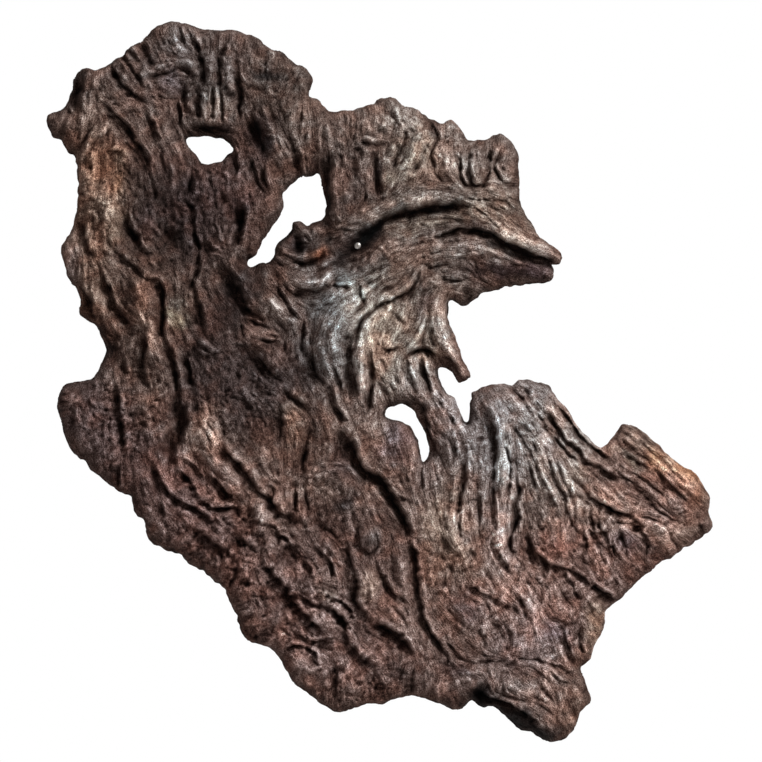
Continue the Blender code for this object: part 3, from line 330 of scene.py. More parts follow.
# Small knobs and pits: centre across and down, half sizes, turn in degrees, rise
KNOBS = (
    (150, 85, 6, 6, 0, 3), (160, 80, 6, 6, 0, 3), (176, 84, 6, 6, 0, 3), (130, 70, 9, 9, 0, 3),
    (135, 48, 7, 6, 0, 2), (128, 55, 6, 6, 0, 2), (183, 52, 7, 7, 0, 3), (120, 77, 5, 5, 0, -4),
    (130, 96, 5, 5, 0, -4), (295, 68, 8, 7, 0, 3), (283, 65, 6, 6, 0, 3), (272, 55, 7, 6, 0, 3),
    (270, 115, 9, 9, 0, 3), (252, 95, 5, 5, 0, 3), (268, 98, 8, 8, 0, 3), (210, 62, 7, 6, 0, 2),
    (232, 70, 7, 6, 0, 2), (230, 105, 7, 7, 0, 3), (358, 152, 5, 5, 0, -4), (345, 163, 6, 6, 0, 3),
    (362, 165, 6, 6, 0, 3), (370, 153, 7, 7, 0, 3), (392, 150, 7, 7, 0, 3), (395, 188, 8, 10, 0, 3),
    (385, 125, 10, 10, 0, 3), (395, 112, 7, 6, 0, 3), (375, 115, 7, 6, 0, 2), (370, 222, 6, 6, 0, 3),
    (503, 170, 4, 5, 0, -4), (478, 160, 4, 5, 0, -4), (530, 273, 8, 5, 0, 3), (457, 275, 6, 4, 0, 3),
    (468, 295, 6, 10, 0, -6), (300, 246, 7, 14, 0, -8), (286, 250, 5, 6, 0, 3), (341, 236, 7, 6, 0, 3),
    (299, 294, 7, 7, 0, -6), (282, 275, 5, 5, 0, 3), (348, 291, 5, 6, 0, -5), (393, 448, 6, 5, 0, -3),
    (444, 482, 8, 9, 0, 3), (610, 480, 9, 8, 0, -3), (670, 488, 9, 8, 0, -2), (615, 520, 7, 9, 0, -4),
    (610, 509, 10, 6, 0, -4), (101, 168, 7, 14, 0, -4), (86, 311, 7, 7, 0, 3), (72, 260, 9, 20, 0, 2),
    (145, 222, 6, 6, 0, 3), (152, 225, 5, 5, 0, 2), (150, 238, 6, 6, 0, 3), (146, 246, 6, 6, 0, 3),
    (171, 236, 12, 14, 0, -3), (298, 162, 8, 10, 0, -5), (243, 215, 8, 14, 0, -8), (237, 240, 5, 8, 0, -5),
    (207, 248, 10, 8, 0, -4), (236, 230, 6, 6, 0, 3), (125, 370, 6, 9, 0, -5), (168, 385, 5, 5, 0, -4),
    (186, 365, 7, 8, 0, -4), (190, 380, 6, 7, 0, -4), (145, 425, 5, 5, 0, -4), (98, 430, 5, 6, 0, -3),
    (231, 312, 4, 4, 0, 3), (204, 343, 6, 5, 0, 3), (261, 354, 4, 5, 0, 2), (310, 347, 6, 9, 0, 3),
    (197, 408, 5, 7, 0, -5), (160, 528, 4, 4, 0, -3), (168, 527, 4, 4, 0, -3), (275, 490, 4, 4, 0, -3),
    (297, 485, 4, 4, 0, -3), (305, 485, 4, 4, 0, -3), (228, 490, 5, 6, 0, -4), (246, 522, 8, 9, 0, 2),
    (300, 635, 5, 6, 0, -3), (443, 582, 4, 5, 0, -4), (556, 550, 18, 20, 0, 3), (543, 530, 4, 4, 0, -3),
    (525, 612, 4, 4, 0, -3), (577, 610, 4, 4, 0, -3), (590, 655, 4, 6, 0, -4), (595, 630, 10, 18, 0, 2),
    (312, 580, 20, 17, 40, 6), (270, 547, 12, 15, 10, 5), (222, 533, 14, 9, 30, 4), (248, 592, 13, 17, 20, 4),
    (282, 614, 14, 13, 0, 4), (300, 659, 14, 12, 0, 6), (331, 628, 14, 15, 20, 4), (372, 648, 20, 13, 25, 5),
    (198, 494, 16, 11, 30, 4), (236, 520, 10, 12, 0, 4), (180, 540, 12, 9, 30, 4),
)

# The run of the fibres where no fold leads it: place, direction, weight
FIBRES = (
    (110, 110, 1, 0.8, 30), (130, 60, 1, 1.3, 30), (140, 90, 0.6, 1, 30), (165, 125, 0.5, 1, 30),
    (215, 45, 0, 1, 30), (240, 50, 0, 1, 30), (290, 80, -0.5, 1, 30), (345, 330, 0.5, -0.87, 30),
    (435, 279, 1, 0, 25), (640, 450, 0.79, 0.62, 40), (680, 490, 0.75, 0.66, 40), (620, 540, 0.55, 0.84, 40),
    (650, 545, 0.6, 0.8, 30), (505, 430, 0.05, 1, 40), (550, 440, 0.5, 0.86, 30), (560, 470, 0.45, 0.9, 30),
    (530, 640, 0.12, 1, 40), (510, 640, 0.15, 1, 40), (500, 680, 0.1, 1, 40), (560, 700, 0.15, 1, 40),
    (595, 630, 1, 0.35, 20), (90, 220, 0.05, 1, 30), (75, 260, 0.25, 1, 30), (95, 180, 0.1, 1, 20),
    (150, 340, 0.25, 1, 20), (250, 430, 0.2, 1, 20), (215, 380, 0.1, 1, 20), (270, 630, 0.7, 0.7, 20),
    (430, 520, 0.2, 1, 20), (380, 690, 0.8, -0.3, 15), (80, 420, 0.4, 1, 20), (410, 330, -0.5, 0.86, 30),
)

# Knobbly burl rather than fibres: centre across and down, half sizes, turn in degrees, share
BURLS = (
    (200, 75, 115, 50, 0, 0.5), (110, 200, 45, 60, 0, 0.6), (165, 225, 50, 50, 0, 0.6), (120, 420, 55, 45, 0, 0.6),
    (230, 540, 90, 60, 0, 0.66), (300, 620, 90, 50, 0, 0.62), (400, 130, 75, 35, 0, 0.5), (470, 150, 60, 30, 0, 0.4),
    (430, 575, 40, 40, 0, 0.5), (545, 555, 50, 40, 0, 0.6), (370, 690, 70, 24, 0, 0.6), (240, 400, 50, 50, 0, 0.6),
    (220, 220, 40, 60, 0, 0.6), (320, 470, 30, 40, 0, 0.5), (600, 520, 40, 30, 0, 0.4),
)

# Flakes that stand across the folds: centre across and down, half sizes, turn in degrees, share
TEETH = (
    (265, 580, 130, 62, 45, 1.0), (225, 545, 70, 40, 40, 1.0), (350, 650, 60, 40, 20, 0.9),
    (560, 590, 60, 50, 0, 0.7), (600, 540, 34, 22, 0, 0.9), (520, 640, 70, 34, 0, 0.6), (130, 440, 60, 44, 30, 0.6),
    (350, 520, 30, 40, 0, 0.6),
)

# Tints: centre, half sizes, turn in degrees, the colour's three parts as on a screen, share. Most are the wood's own
# colours; the near-black ones are painted shade and painted shadow in hollows, recesses, the channels under the
# beak's folds, the screw's hollow and the undersides, and some pale ones on crests are partly paler wood and partly
# painted highlight.
TINTS_AND_PAINTED_SHADE = (
    (200, 75, 125, 55, 10, 73, 60, 55, 0.85), (290, 90, 40, 50, 20, 90, 76, 68, 0.6),
    (269, 76, 15, 9, 10, 36, 32, 31, 0.85), (182, 48, 9, 8, 40, 128, 114, 108, 0.7),
    (80, 88, 11, 15, 0, 40, 32, 30, 0.8), (214, 106, 16, 16, 0, 108, 96, 88, 0.6),
    (172, 88, 14, 8, -20, 98, 82, 80, 0.6), (214, 175, 16, 11, 0, 98, 76, 64, 0.6),
    (95, 225, 28, 85, 0, 132, 104, 88, 0.85), (110, 175, 22, 26, 0, 124, 88, 66, 0.6),
    # Painted shade: the near-black patches in this and the next two rows darken the left depression and its pockets.
    (165, 225, 55, 60, 0, 38, 29, 28, 0.97), (147, 226, 11, 13, 0, 74, 60, 60, 0.7),
    (172, 233, 13, 10, 0, 22, 17, 16, 0.8), (245, 216, 10, 14, 0, 26, 20, 20, 0.8),
    (190, 188, 8, 12, 0, 28, 22, 21, 0.7), (115, 222, 9, 24, 0, 142, 116, 98, 0.6),
    (72, 260, 12, 26, 0, 126, 108, 102, 0.6), (125, 156, 8, 6, 0, 146, 122, 104, 0.6),
    (225, 190, 44, 48, 0, 72, 55, 52, 0.75), (262, 145, 12, 28, -10, 40, 30, 30, 0.85),
    (150, 310, 38, 90, -8, 86, 66, 57, 0.8), (190, 315, 11, 14, 0, 92, 84, 74, 0.6),
    (177, 325, 6, 8, 0, 146, 132, 112, 0.7), (146, 310, 7, 34, -8, 126, 98, 84, 0.7),
    (262, 372, 12, 22, -45, 34, 27, 26, 0.8), (272, 332, 12, 16, -40, 104, 84, 76, 0.6),
    (215, 322, 14, 26, -10, 106, 74, 62, 0.6), (240, 300, 28, 60, 35, 42, 33, 31, 0.88),
    (283, 320, 22, 46, 20, 112, 90, 80, 0.7), (300, 380, 38, 60, 0, 50, 39, 36, 0.85),
    (225, 390, 58, 55, 0, 62, 49, 46, 0.85), (208, 436, 20, 22, 40, 136, 110, 98, 0.75),
    (236, 474, 9, 30, -40, 132, 104, 92, 0.75), (294, 422, 12, 26, 0, 116, 90, 76, 0.6),
    (85, 415, 36, 44, 0, 82, 65, 61, 0.8), (125, 450, 50, 46, 30, 80, 60, 56, 0.7),
    (190, 505, 60, 40, 35, 90, 66, 61, 0.7), (230, 560, 90, 50, 42, 98, 74, 67, 0.7),
    (285, 500, 20, 24, 0, 118, 94, 84, 0.6), (300, 620, 60, 50, 40, 112, 86, 78, 0.6),
    (350, 560, 60, 60, 40, 94, 72, 66, 0.6), (400, 150, 80, 48, 0, 124, 106, 96, 0.85),
    (345, 190, 34, 60, 0, 84, 68, 62, 0.7), (412, 160, 15, 24, 0, 142, 126, 112, 0.6),
    (392, 182, 8, 14, 0, 134, 116, 100, 0.6), (379, 178, 6, 22, 0, 44, 35, 33, 0.8),
    (455, 165, 8, 16, 0, 128, 112, 104, 0.5), (447, 132, 9, 8, 0, 128, 116, 108, 0.5),
    (433, 130, 7, 10, 0, 52, 42, 40, 0.7), (500, 160, 30, 26, 0, 104, 88, 80, 0.7),
    (430, 215, 80, 22, -12, 110, 94, 84, 0.85), (500, 222, 40, 26, 35, 124, 106, 94, 0.8),
    # Painted shadow: the near-black patches in the next three rows lie in the channels under the beak's folds; the
    # dark one under the lower beak is partly red-brown wood and partly painted shade.
    (430, 245, 60, 24, -8, 100, 85, 78, 0.85), (518, 268, 34, 11, 10, 62, 44, 41, 0.85),
    (503, 256, 20, 7, 25, 124, 108, 100, 0.7), (428, 210, 46, 4, -9, 24, 18, 17, 0.8),
    (370, 231, 17, 8, -38, 28, 21, 20, 0.85), (514, 246, 27, 4.5, 27, 22, 17, 16, 0.85),
    (440, 226, 46, 8, -6, 118, 98, 84, 0.7), (440, 285, 26, 14, 0, 112, 100, 92, 0.7),
    (400, 265, 50, 22, -15, 98, 82, 73, 0.7), (340, 330, 28, 70, -12, 108, 101, 97, 0.9),
    (350, 296, 26, 20, 20, 98, 92, 88, 0.7), (380, 335, 30, 46, -10, 150, 134, 122, 0.85),
    (388, 335, 14, 16, 0, 168, 148, 126, 0.75), (392, 365, 16, 22, 0, 154, 134, 118, 0.7),
    (410, 325, 30, 34, 0, 118, 102, 92, 0.7), (440, 330, 16, 46, 5, 132, 116, 106, 0.75),
    (364, 296, 9, 10, 0, 148, 142, 132, 0.6), (420, 375, 34, 26, 20, 122, 106, 98, 0.7),
    (452, 425, 26, 46, 15, 126, 110, 104, 0.8), (402, 440, 16, 20, 0, 92, 78, 78, 0.7),
    (365, 400, 26, 60, 0, 112, 90, 80, 0.6), (335, 420, 20, 60, 0, 100, 78, 68, 0.6),
    (444, 482, 22, 26, 0, 118, 96, 88, 0.6), (500, 440, 36, 64, 0, 130, 118, 113, 0.9),
    (501, 470, 4, 34, 0, 156, 144, 134, 0.6), (535, 430, 26, 46, 20, 130, 117, 110, 0.8),
    (550, 456, 20, 18, 20, 154, 138, 128, 0.7), (578, 474, 12, 13, 0, 158, 138, 120, 0.6),
    (551, 449, 8, 14, -25, 158, 149, 146, 0.65), (575, 430, 26, 44, 40, 116, 102, 94, 0.7),
    (500, 530, 26, 44, 0, 132, 109, 100, 0.7), (450, 530, 22, 50, 5, 140, 116, 100, 0.7),
    (465, 500, 14, 30, 0, 118, 98, 90, 0.6), (650, 480, 60, 44, 38, 118, 91, 80, 0.8),
    (670, 465, 46, 12, 43, 138, 104, 84, 0.7), (690, 480, 12, 10, 0, 150, 100, 70, 0.7),
    (640, 540, 56, 40, -35, 104, 78, 70, 0.7), (610, 490, 26, 18, 30, 92, 72, 65, 0.6),
    (600, 560, 44, 40, 0, 114, 88, 79, 0.7), (556, 545, 30, 28, 0, 126, 92, 80, 0.7),
    (540, 600, 60, 34, 0, 136, 108, 98, 0.75), (530, 640, 50, 24, 0, 126, 104, 98, 0.7),
    (595, 630, 14, 26, 0, 140, 114, 96, 0.8), (430, 600, 50, 60, 0, 116, 90, 80, 0.6),
    (440, 560, 14, 14, 0, 126, 104, 92, 0.5), (470, 604, 14, 12, 0, 70, 54, 54, 0.6),
    (553, 628, 12, 10, 0, 92, 75, 76, 0.6), (480, 680, 60, 24, 0, 124, 102, 94, 0.7),
    (545, 690, 30, 28, 0, 132, 114, 106, 0.8), (575, 695, 18, 28, 0, 126, 98, 84, 0.7),
    # Painted shade: the two near-black patches in this row darken the underside of the foot.
    (512, 716, 36, 13, 28, 34, 28, 27, 0.9), (548, 732, 14, 8, 0, 34, 30, 29, 0.8),
    (624, 534, 18, 10, 30, 74, 57, 57, 0.7), (346, 498, 8, 15, 10, 34, 27, 26, 0.85),
    (371, 534, 7, 11, 0, 112, 98, 92, 0.7), (326, 481, 22, 7, -15, 134, 108, 96, 0.6),
    (370, 588, 9, 18, 0, 128, 100, 86, 0.7), (458, 665, 16, 6, 20, 56, 43, 42, 0.7),
    (365, 660, 60, 40, 0, 106, 82, 75, 0.6), (330, 592, 9, 9, 0, 100, 98, 84, 0.5),
    (320, 250, 10, 6, -20, 156, 98, 68, 0.65), (116, 185, 8, 9, 0, 142, 92, 62, 0.6),
    (556, 539, 16, 12, 0, 112, 74, 64, 0.7), (655, 455, 14, 7, 40, 146, 102, 74, 0.6),
    # Painted shade: the near-black patches in this and the next row darken the hollows beside the screw.
    (632, 460, 16, 5, 38, 112, 104, 92, 0.6), (300, 238, 16, 18, -30, 40, 30, 29, 0.85),
    (346, 247, 26, 17, -30, 30, 23, 22, 0.85), (364, 266, 14, 5, -30, 92, 78, 72, 0.6),
    (106, 350, 9, 24, 0, 44, 35, 33, 0.8), (560, 512, 40, 24, 30, 138, 114, 103, 0.5),
    (682, 536, 22, 9, -40, 140, 112, 98, 0.6), (110, 200, 12, 26, 0, 134, 108, 93, 0.6),
    (155, 386, 14, 24, 10, 98, 76, 66, 0.65), (201, 438, 16, 18, 40, 134, 110, 98, 0.7),
    (345, 458, 10, 24, 0, 64, 50, 47, 0.6), (565, 482, 26, 20, 10, 156, 136, 124, 0.7),
    (655, 530, 30, 12, 38, 132, 104, 92, 0.75), (620, 505, 34, 12, 26, 126, 98, 86, 0.7),
    # Painted shadow: the first patch in this row darkens the channel under the beak's upper fold.
    (370, 236, 17, 8, -40, 26, 20, 19, 0.8), (440, 196, 46, 6, 2, 96, 80, 72, 0.6),
    (400, 665, 14, 12, 0, 78, 64, 60, 0.5), (428, 150, 9, 22, -20, 148, 132, 118, 0.6),
    (452, 160, 7, 20, 0, 146, 132, 122, 0.6), (392, 118, 12, 16, 0, 118, 102, 92, 0.6),
    (540, 392, 24, 10, 0, 126, 112, 106, 0.6), (388, 340, 24, 32, -10, 162, 144, 129, 0.75),
    (430, 345, 10, 22, 0, 150, 132, 118, 0.6), (538, 500, 26, 26, 0, 140, 120, 110, 0.7),
    (676, 528, 22, 10, -35, 126, 102, 90, 0.5), (340, 462, 12, 12, 0, 48, 38, 36, 0.7),
    (270, 140, 9, 22, 0, 44, 34, 33, 0.7), (346, 284, 12, 12, 0, 72, 66, 62, 0.6),
    # Painted shadow: the second patch in this row darkens the channel under the beak's fold.
    (521, 168, 6, 30, 0, 64, 52, 48, 0.7), (478, 234, 32, 5, 10, 34, 26, 25, 0.7),
    (468, 536, 7, 10, 0, 92, 74, 68, 0.6), (335, 575, 18, 40, 10, 122, 97, 88, 0.65),
    (590, 500, 30, 18, 30, 132, 108, 96, 0.6), (430, 470, 12, 26, 0, 126, 106, 98, 0.5),
    (245, 500, 30, 18, 40, 116, 92, 82, 0.6), (640, 432, 18, 10, 38, 118, 102, 92, 0.6),
    # Painted shade: the near-black patches in the next four rows darken the notch, the underside of the foot and the
    # underside of the lower beak.
    (480, 695, 9, 14, 0, 30, 23, 22, 0.95), (535, 265, 14, 9, 0, 80, 60, 62, 0.5),
    (505, 272, 44, 7, -2, 50, 36, 34, 0.85), (428, 312, 6, 22, 8, 80, 62, 58, 0.6),
    (504, 712, 26, 9, 30, 26, 21, 20, 0.9), (534, 727, 20, 8, 22, 30, 25, 24, 0.85),
    (481, 698, 8, 12, 0, 20, 16, 15, 0.95), (555, 685, 26, 18, 0, 130, 112, 104, 0.6),
)

rng = np.random.default_rng(SEED)
DOWN, ACROSS = np.mgrid[0:SIDE, 0:SIDE].astype(float)


def smooth_line(points, closed=False, steps=4):
    """A Catmull-Rom curve through the points, given as across and down in turn."""
    points = np.array(points, float).reshape(-1, 2)
    if closed:
        padded = np.vstack([points[-1:], points, points[:2]])
    else:
        padded = np.vstack([2 * points[0] - points[1], points, 2 * points[-1] - points[-2]])
    before, start, end, after = padded[:-3], padded[1:-2], padded[2:-1], padded[3:]
    rows = []
    for step in range(steps):
        t = step / steps
        rows.append(
            0.5 * (2 * start + (end - before) * t
                   + (2 * before - 5 * start + 4 * end - after) * t ** 2
                   + (3 * start - before - 3 * end + after) * t ** 3)
        )
    line = np.stack(rows, axis=1).reshape(-1, 2)
    return line if closed else np.vstack([line, points[-1:]])


LOOPS = [smooth_line(loop, closed=True) for loop in (OUTLINE, *HOLES)]
LEFT, TOP = LOOPS[0].min(axis=0)
RIGHT, BOTTOM = LOOPS[0].max(axis=0)
WOOD_LOW, WOOD_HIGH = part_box("burl_slab")
SQUARE_WIDTH = (WOOD_HIGH[0] - WOOD_LOW[0]) / (RIGHT - LEFT)
SQUARE_HEIGHT = (WOOD_HIGH[2] - WOOD_LOW[2]) / (BOTTOM - TOP)
MIDDLE_X = (WOOD_HIGH[0] + WOOD_LOW[0]) / 2
MIDDLE_Z = (WOOD_HIGH[2] + WOOD_LOW[2]) / 2


def to_metres(points):
    """Squares across and down to metres along X and Z."""
    points = np.asarray(points, float)
    x = (points[..., 0] - (LEFT + RIGHT) / 2) * SQUARE_WIDTH + MIDDLE_X
    z = ((TOP + BOTTOM) / 2 - points[..., 1]) * SQUARE_HEIGHT + MIDDLE_Z
    return np.stack([x, z], axis=-1)


def to_squares(x, z):
    """Metres along X and Z to squares across and down."""
    across = (x - MIDDLE_X) / SQUARE_WIDTH + (LEFT + RIGHT) / 2
    down = (TOP + BOTTOM) / 2 - (z - MIDDLE_Z) / SQUARE_HEIGHT
    return across, down


def blur(field, size):
    """The field smoothed with a Gaussian of that many squares."""
    rate_down = np.fft.fftfreq(SIDE)[:, None]
    rate_across = np.fft.rfftfreq(SIDE)[None, :]
    weight = np.exp(-2 * (math.pi * size) ** 2 * (rate_down ** 2 + rate_across ** 2))
    return np.fft.irfft2(np.fft.rfft2(field) * weight, s=(SIDE, SIDE))


def clouds(size):
    """Smooth noise with lumps of that many squares and a spread of 1."""
    field = blur(rng.standard_normal((SIDE, SIDE)), size)
    return field / field.std()


def shingled(field, count):
    """The field as overlapping layers, each with a slow rise and a sharp drop."""
    rise, drop = 0.86, 0.14
    share = (field * count) % 1.0
    return np.where(share < rise, share / rise, (1 - share) / drop) - 0.5


def sample(field, across, down):
    """The field's value between its squares."""
    across = np.clip(across, 0, SIDE - 1.001)
    down = np.clip(down, 0, SIDE - 1.001)
    left = across.astype(int)
    top = down.astype(int)
    right_share = across - left
    low_share = down - top
    if field.ndim == 3:
        right_share = right_share[:, None]
        low_share = low_share[:, None]
    upper = field[top, left] * (1 - right_share) + field[top, left + 1] * right_share
    lower = field[top + 1, left] * (1 - right_share) + field[top + 1, left + 1] * right_share
    return upper * (1 - low_share) + lower * low_share


def window(line, reach):
    """The part of the field within reach of the line."""
    low = np.clip(np.floor(line.min(axis=0) - reach).astype(int), 0, SIDE - 1)
    high = np.clip(np.ceil(line.max(axis=0) + reach).astype(int) + 1, 1, SIDE)
    return slice(low[1], high[1]), slice(low[0], high[0])


def line_distance(across, down, line):
    """Distance to a line, the side of it, how far that side is lit, and the way left to the line's end."""
    distance = np.full(across.shape, 1e9)
    side = np.ones(across.shape)
    lit = np.zeros(across.shape)
    place = np.zeros(across.shape)
    passed = 0.0
    for start, end in zip(line[:-1], line[1:]):
        along = end - start
        size = math.hypot(*along)
        off_across = across - start[0]
        off_down = down - start[1]
        share = np.clip((off_across * along[0] + off_down * along[1]) / size ** 2, 0, 1)
        length = np.hypot(off_across - share * along[0], off_down - share * along[1])
        closer = length < distance
        over = np.sign(along[0] * off_down - along[1] * off_across)
        facing = np.clip(-2 * (LIGHT_ACROSS * along[1] + LIGHT_UP * along[0]) / size, -1, 1)
        distance = np.where(closer, length, distance)
        side = np.where(closer, over, side)
        lit = np.where(closer, over * facing, lit)
        place = np.where(closer, passed + share * size, place)
        passed += size
    return distance, side, lit, np.minimum(place, passed - place)


def rim_distance():
    """Distance to the nearest rim, below 0 where there is no wood."""
    farthest = 60
    distance = np.full((SIDE, SIDE), float(farthest))
    wood = np.zeros((SIDE, SIDE), bool)
    for loop in LOOPS:
        closed = np.vstack([loop, loop[:1]])
        for edge in zip(closed[:-1], closed[1:]):
            area = window(np.array(edge), farthest)
            near = line_distance(ACROSS[area], DOWN[area], np.array(edge))[0]
            distance[area] = np.minimum(distance[area], near)
        for row in range(SIDE):
            crosses = (closed[:-1, 1] <= row) != (closed[1:, 1] <= row)
            start, end = closed[:-1][crosses], closed[1:][crosses]
            places = np.sort(
                start[:, 0] + (row - start[:, 1]) / (end[:, 1] - start[:, 1]) * (end[:, 0] - start[:, 0])
            )
            for first, last in zip(places[::2], places[1::2]):
                wood[row, int(math.ceil(first)):int(math.floor(last)) + 1] ^= True
    return np.where(wood, distance, -distance)


def ellipse_way(across, down, long, short, turn):
    """The way from an ellipse's centre, squared: 0 there and 1 at its edge."""
    cosine = math.cos(math.radians(turn))
    sine = math.sin(math.radians(turn))
    return ((across * cosine + down * sine) / long) ** 2 + ((down * cosine - across * sine) / short) ** 2


def ellipse_share(centre_across, centre_down, long, short, turn, soft):
    """1 inside an ellipse with a wandering edge, fading to 0 outside."""
    way = ellipse_way(BLOTCH_ACROSS - centre_across, BLOTCH_DOWN - centre_down, long, short, turn)
    return np.exp(-0.8 * way ** soft)


def swell_field(table):
    """Rounded swells and hollows."""
    total = np.zeros((SIDE, SIDE))
    for centre_across, centre_down, long, short, turn, rise in table:
        area = window(np.array([[centre_across, centre_down]], float), max(long, short) + 6)
        way = ellipse_way(
            WANDER_ACROSS[area] - centre_across, WANDER_DOWN[area] - centre_down, long, short, turn
        )
        total[area] += rise * np.clip(1 - way, 0, None) ** 1.5
    return total


def near_line(points, reach):
    """The area within reach of a curve through the points, and there what line_distance says of it."""
    line = smooth_line(points)
    area = window(line, reach)
    return area, *line_distance(WANDER_ACROSS[area], WANDER_DOWN[area], line)


def groove_field(table, sharp):
    """Depth of the grooves, steep on their lit side, and the lip on that side."""
    total = np.zeros((SIDE, SIDE))
    lips = np.zeros((SIDE, SIDE))
    for width, depth, *points in table:
        floor = 0.22 * width
        reach = 1.15 * width + 0.25 * depth
        area, distance, _, lit, ends = near_line(points, 1.8 * reach + floor + 5)
        distance = np.abs(distance + CHIPPED[area])
        share = np.clip((distance * np.where(lit > 0, 1 + 1.5 * lit, 1 + 0.35 * lit) - floor) / reach, 0, 1)
        firm = min(1, depth / 14)
        taper = np.clip((ends + 1) / (2 * width + 3), 0, 1) ** 0.7
        whole = depth * taper * (firm + (1 - firm) * BROKEN[area])
        total[area] = np.maximum(total[area], whole * (1 - share) ** sharp)
        lip = np.exp(-((distance - 0.45 * reach - floor) / (0.25 * reach + 0.6)) ** 2)
        lips[area] = np.maximum(lips[area], 0.26 * whole * lip * np.clip(lit, 0, 1))
    return total, lips


def cut_field(table, full_depth):
    """1 in the narrow floor of each crease, less in shallow ones, and 0 beside them."""
    total = np.zeros((SIDE, SIDE))
    for width, depth, *points in table:
        half = 0.27 * width + 0.45
        area, distance, _, _, ends = near_line(points, 2 * half + 6)
        distance = np.abs(distance + 0.7 * CHIPPED[area])
        taper = np.clip((ends + 1) / (2.5 * width + 4), 0, 1) ** 0.6
        share = np.clip(1.25 - distance / (half * (0.35 + 0.65 * taper) * BROKEN[area]), 0, 1)
        total[area] = np.maximum(total[area], min(1, depth / full_depth) * taper * share * share * (3 - 2 * share))
    return total * np.clip(BROKEN, 0, 1)


def ridge_field(table):
    """Height of the ridges, wider on their lit side."""
    total = np.zeros((SIDE, SIDE))
    for width, rise, *points in table:
        area, distance, _, lit, ends = near_line(points, 2.5 * width + 5)
        taper = np.clip((ends + 2) / (2 * width + 4), 0, 1)
        width = width * np.exp(0.3 * lit)
        total[area] = np.maximum(total[area], rise * taper * np.exp(-(distance / width) ** 2))
    return total


def step_field(table):
    """Steps, raised on one side of a line and dropped on the other."""
    total = np.zeros((SIDE, SIDE))
    for rise, drop, reach, *points in table:
        area, distance, side, _, _ = near_line(points, 2 * reach + 5)
        fade = np.clip(1 - distance / (2 * reach), 0, 1) ** 1.5
        total[area] += np.where(side > 0, -drop, rise) * fade * np.clip(distance / 2, 0, 1)
    return total


def fibre_run():
    """The direction of the fibres as a unit vector in each square, led by the folds."""
    double_cosine = np.zeros((SIDE, SIDE))
    double_sine = np.zeros((SIDE, SIDE))

    def lay(across, down, along, weight):
        """Adds a direction to its square, with its angle doubled, so that opposite ways agree."""
        size = along[0] ** 2 + along[1] ** 2
        row = int(np.clip(round(down), 0, SIDE - 1))
        column = int(np.clip(round(across), 0, SIDE - 1))
        double_cosine[row, column] += weight * (along[0] ** 2 - along[1] ** 2) / size
        double_sine[row, column] += weight * 2 * along[0] * along[1] / size

    for table, weight, widths in (
        (GROOVES, 1.0, 2), (RIDGES, 1.2, 2), (CREASES, 0.7, 2), (CRESTS, 0.8, 2), (STEPS, 1.0, 3)
    ):
        for row in table:
            line = smooth_line(row[widths:])
            for start, end in zip(line[:-1], line[1:]):
                lay(*((start + end) / 2), end - start, weight * math.hypot(*(end - start)))
    for across, down, along_across, along_down, weight in FIBRES:
        lay(across, down, (along_across, along_down), weight)
    cosine = sum(blur(double_cosine, size) for size in FIBRE_REACHES)
    sine = sum(blur(double_sine, size) for size in FIBRE_REACHES)
    angle = 0.5 * np.arctan2(sine, cosine) + 0.10 * clouds(9) + 0.06 * clouds(3.5)
    return np.cos(angle), np.sin(angle)


def smeared(fields, reaches, run_across, run_down):
    """Each field drawn out along a run, over that many squares either way, on the wood and just past its rim."""
    past_rim, longest_sampled = 4, 10
    near = np.nonzero(SIGNED_RIM > -past_rim)
    totals = [field[near].copy() for field in fields]
    for sign in (1, -1):
        down, across = (places.astype(float) for places in near)
        step_across = sign * run_across[near]
        step_down = sign * run_down[near]
        for step in range(1, max(reaches) + 1):
            across += step_across
            down += step_down
            column = np.clip(np.rint(across).astype(int), 0, SIDE - 1)
            row = np.clip(np.rint(down).astype(int), 0, SIDE - 1)
            next_across = run_across[row, column]
            next_down = run_down[row, column]
            turned = np.where(next_across * step_across + next_down * step_down < 0, -1, 1)
            step_across = next_across * turned
            step_down = next_down * turned
            for total, field, reach in zip(totals, fields, reaches):
                if step <= reach:
                    weight = 0.5 + 0.5 * math.cos(math.pi * step / (reach + 1))
                    smooth = reach <= longest_sampled
                    total += weight * (sample(field, across, down) if smooth else field[row, column])
    made = []
    for total in totals:
        field = np.zeros((SIDE, SIDE))
        total -= total.mean()
        field[near] = total / total.std()
        made.append(field)
    return made


def widest_share(start, table, soft):
    """The greatest share that any of the table's ellipses gives each square."""
    total = np.full((SIDE, SIDE), float(start))
    for *place, share in table:
        total = np.maximum(total, share * ellipse_share(*place, soft))
    return total


def blocks(cell, stretch):
    """Cells drawn out along the fibres: the way to the crack between two of them, and a level for each."""
    count = SIDE // cell + 5
    seeds = (np.indices((count, count)) - 2 + rng.random((2, count, count))) * cell
    levels = rng.standard_normal((count, count))
    across = ACROSS + 0.25 * cell * clouds(0.35 * cell)
    down = DOWN + 0.25 * cell * clouds(0.35 * cell)
    rows = (down // cell).astype(int) + 2
    columns = (across // cell).astype(int) + 2
    first = np.full((SIDE, SIDE), 1e9)
    second = first.copy()
    level = np.zeros((SIDE, SIDE))
    for row_step in range(-2, 3):
        for column_step in range(-2, 3):
            row = np.clip(rows + row_step, 0, count - 1)
            column = np.clip(columns + column_step, 0, count - 1)
            off_down = down - seeds[0, row, column]
            off_across = across - seeds[1, row, column]
            along = (off_across * RUN_ACROSS + off_down * RUN_DOWN) / stretch
            distance = np.hypot(along, off_across * RUN_DOWN - off_down * RUN_ACROSS)
            closer = distance < first
            second = np.where(closer, first, np.minimum(second, distance))
            level = np.where(closer, levels[row, column], level)
            first = np.where(closer, distance, first)
    return second - first, level


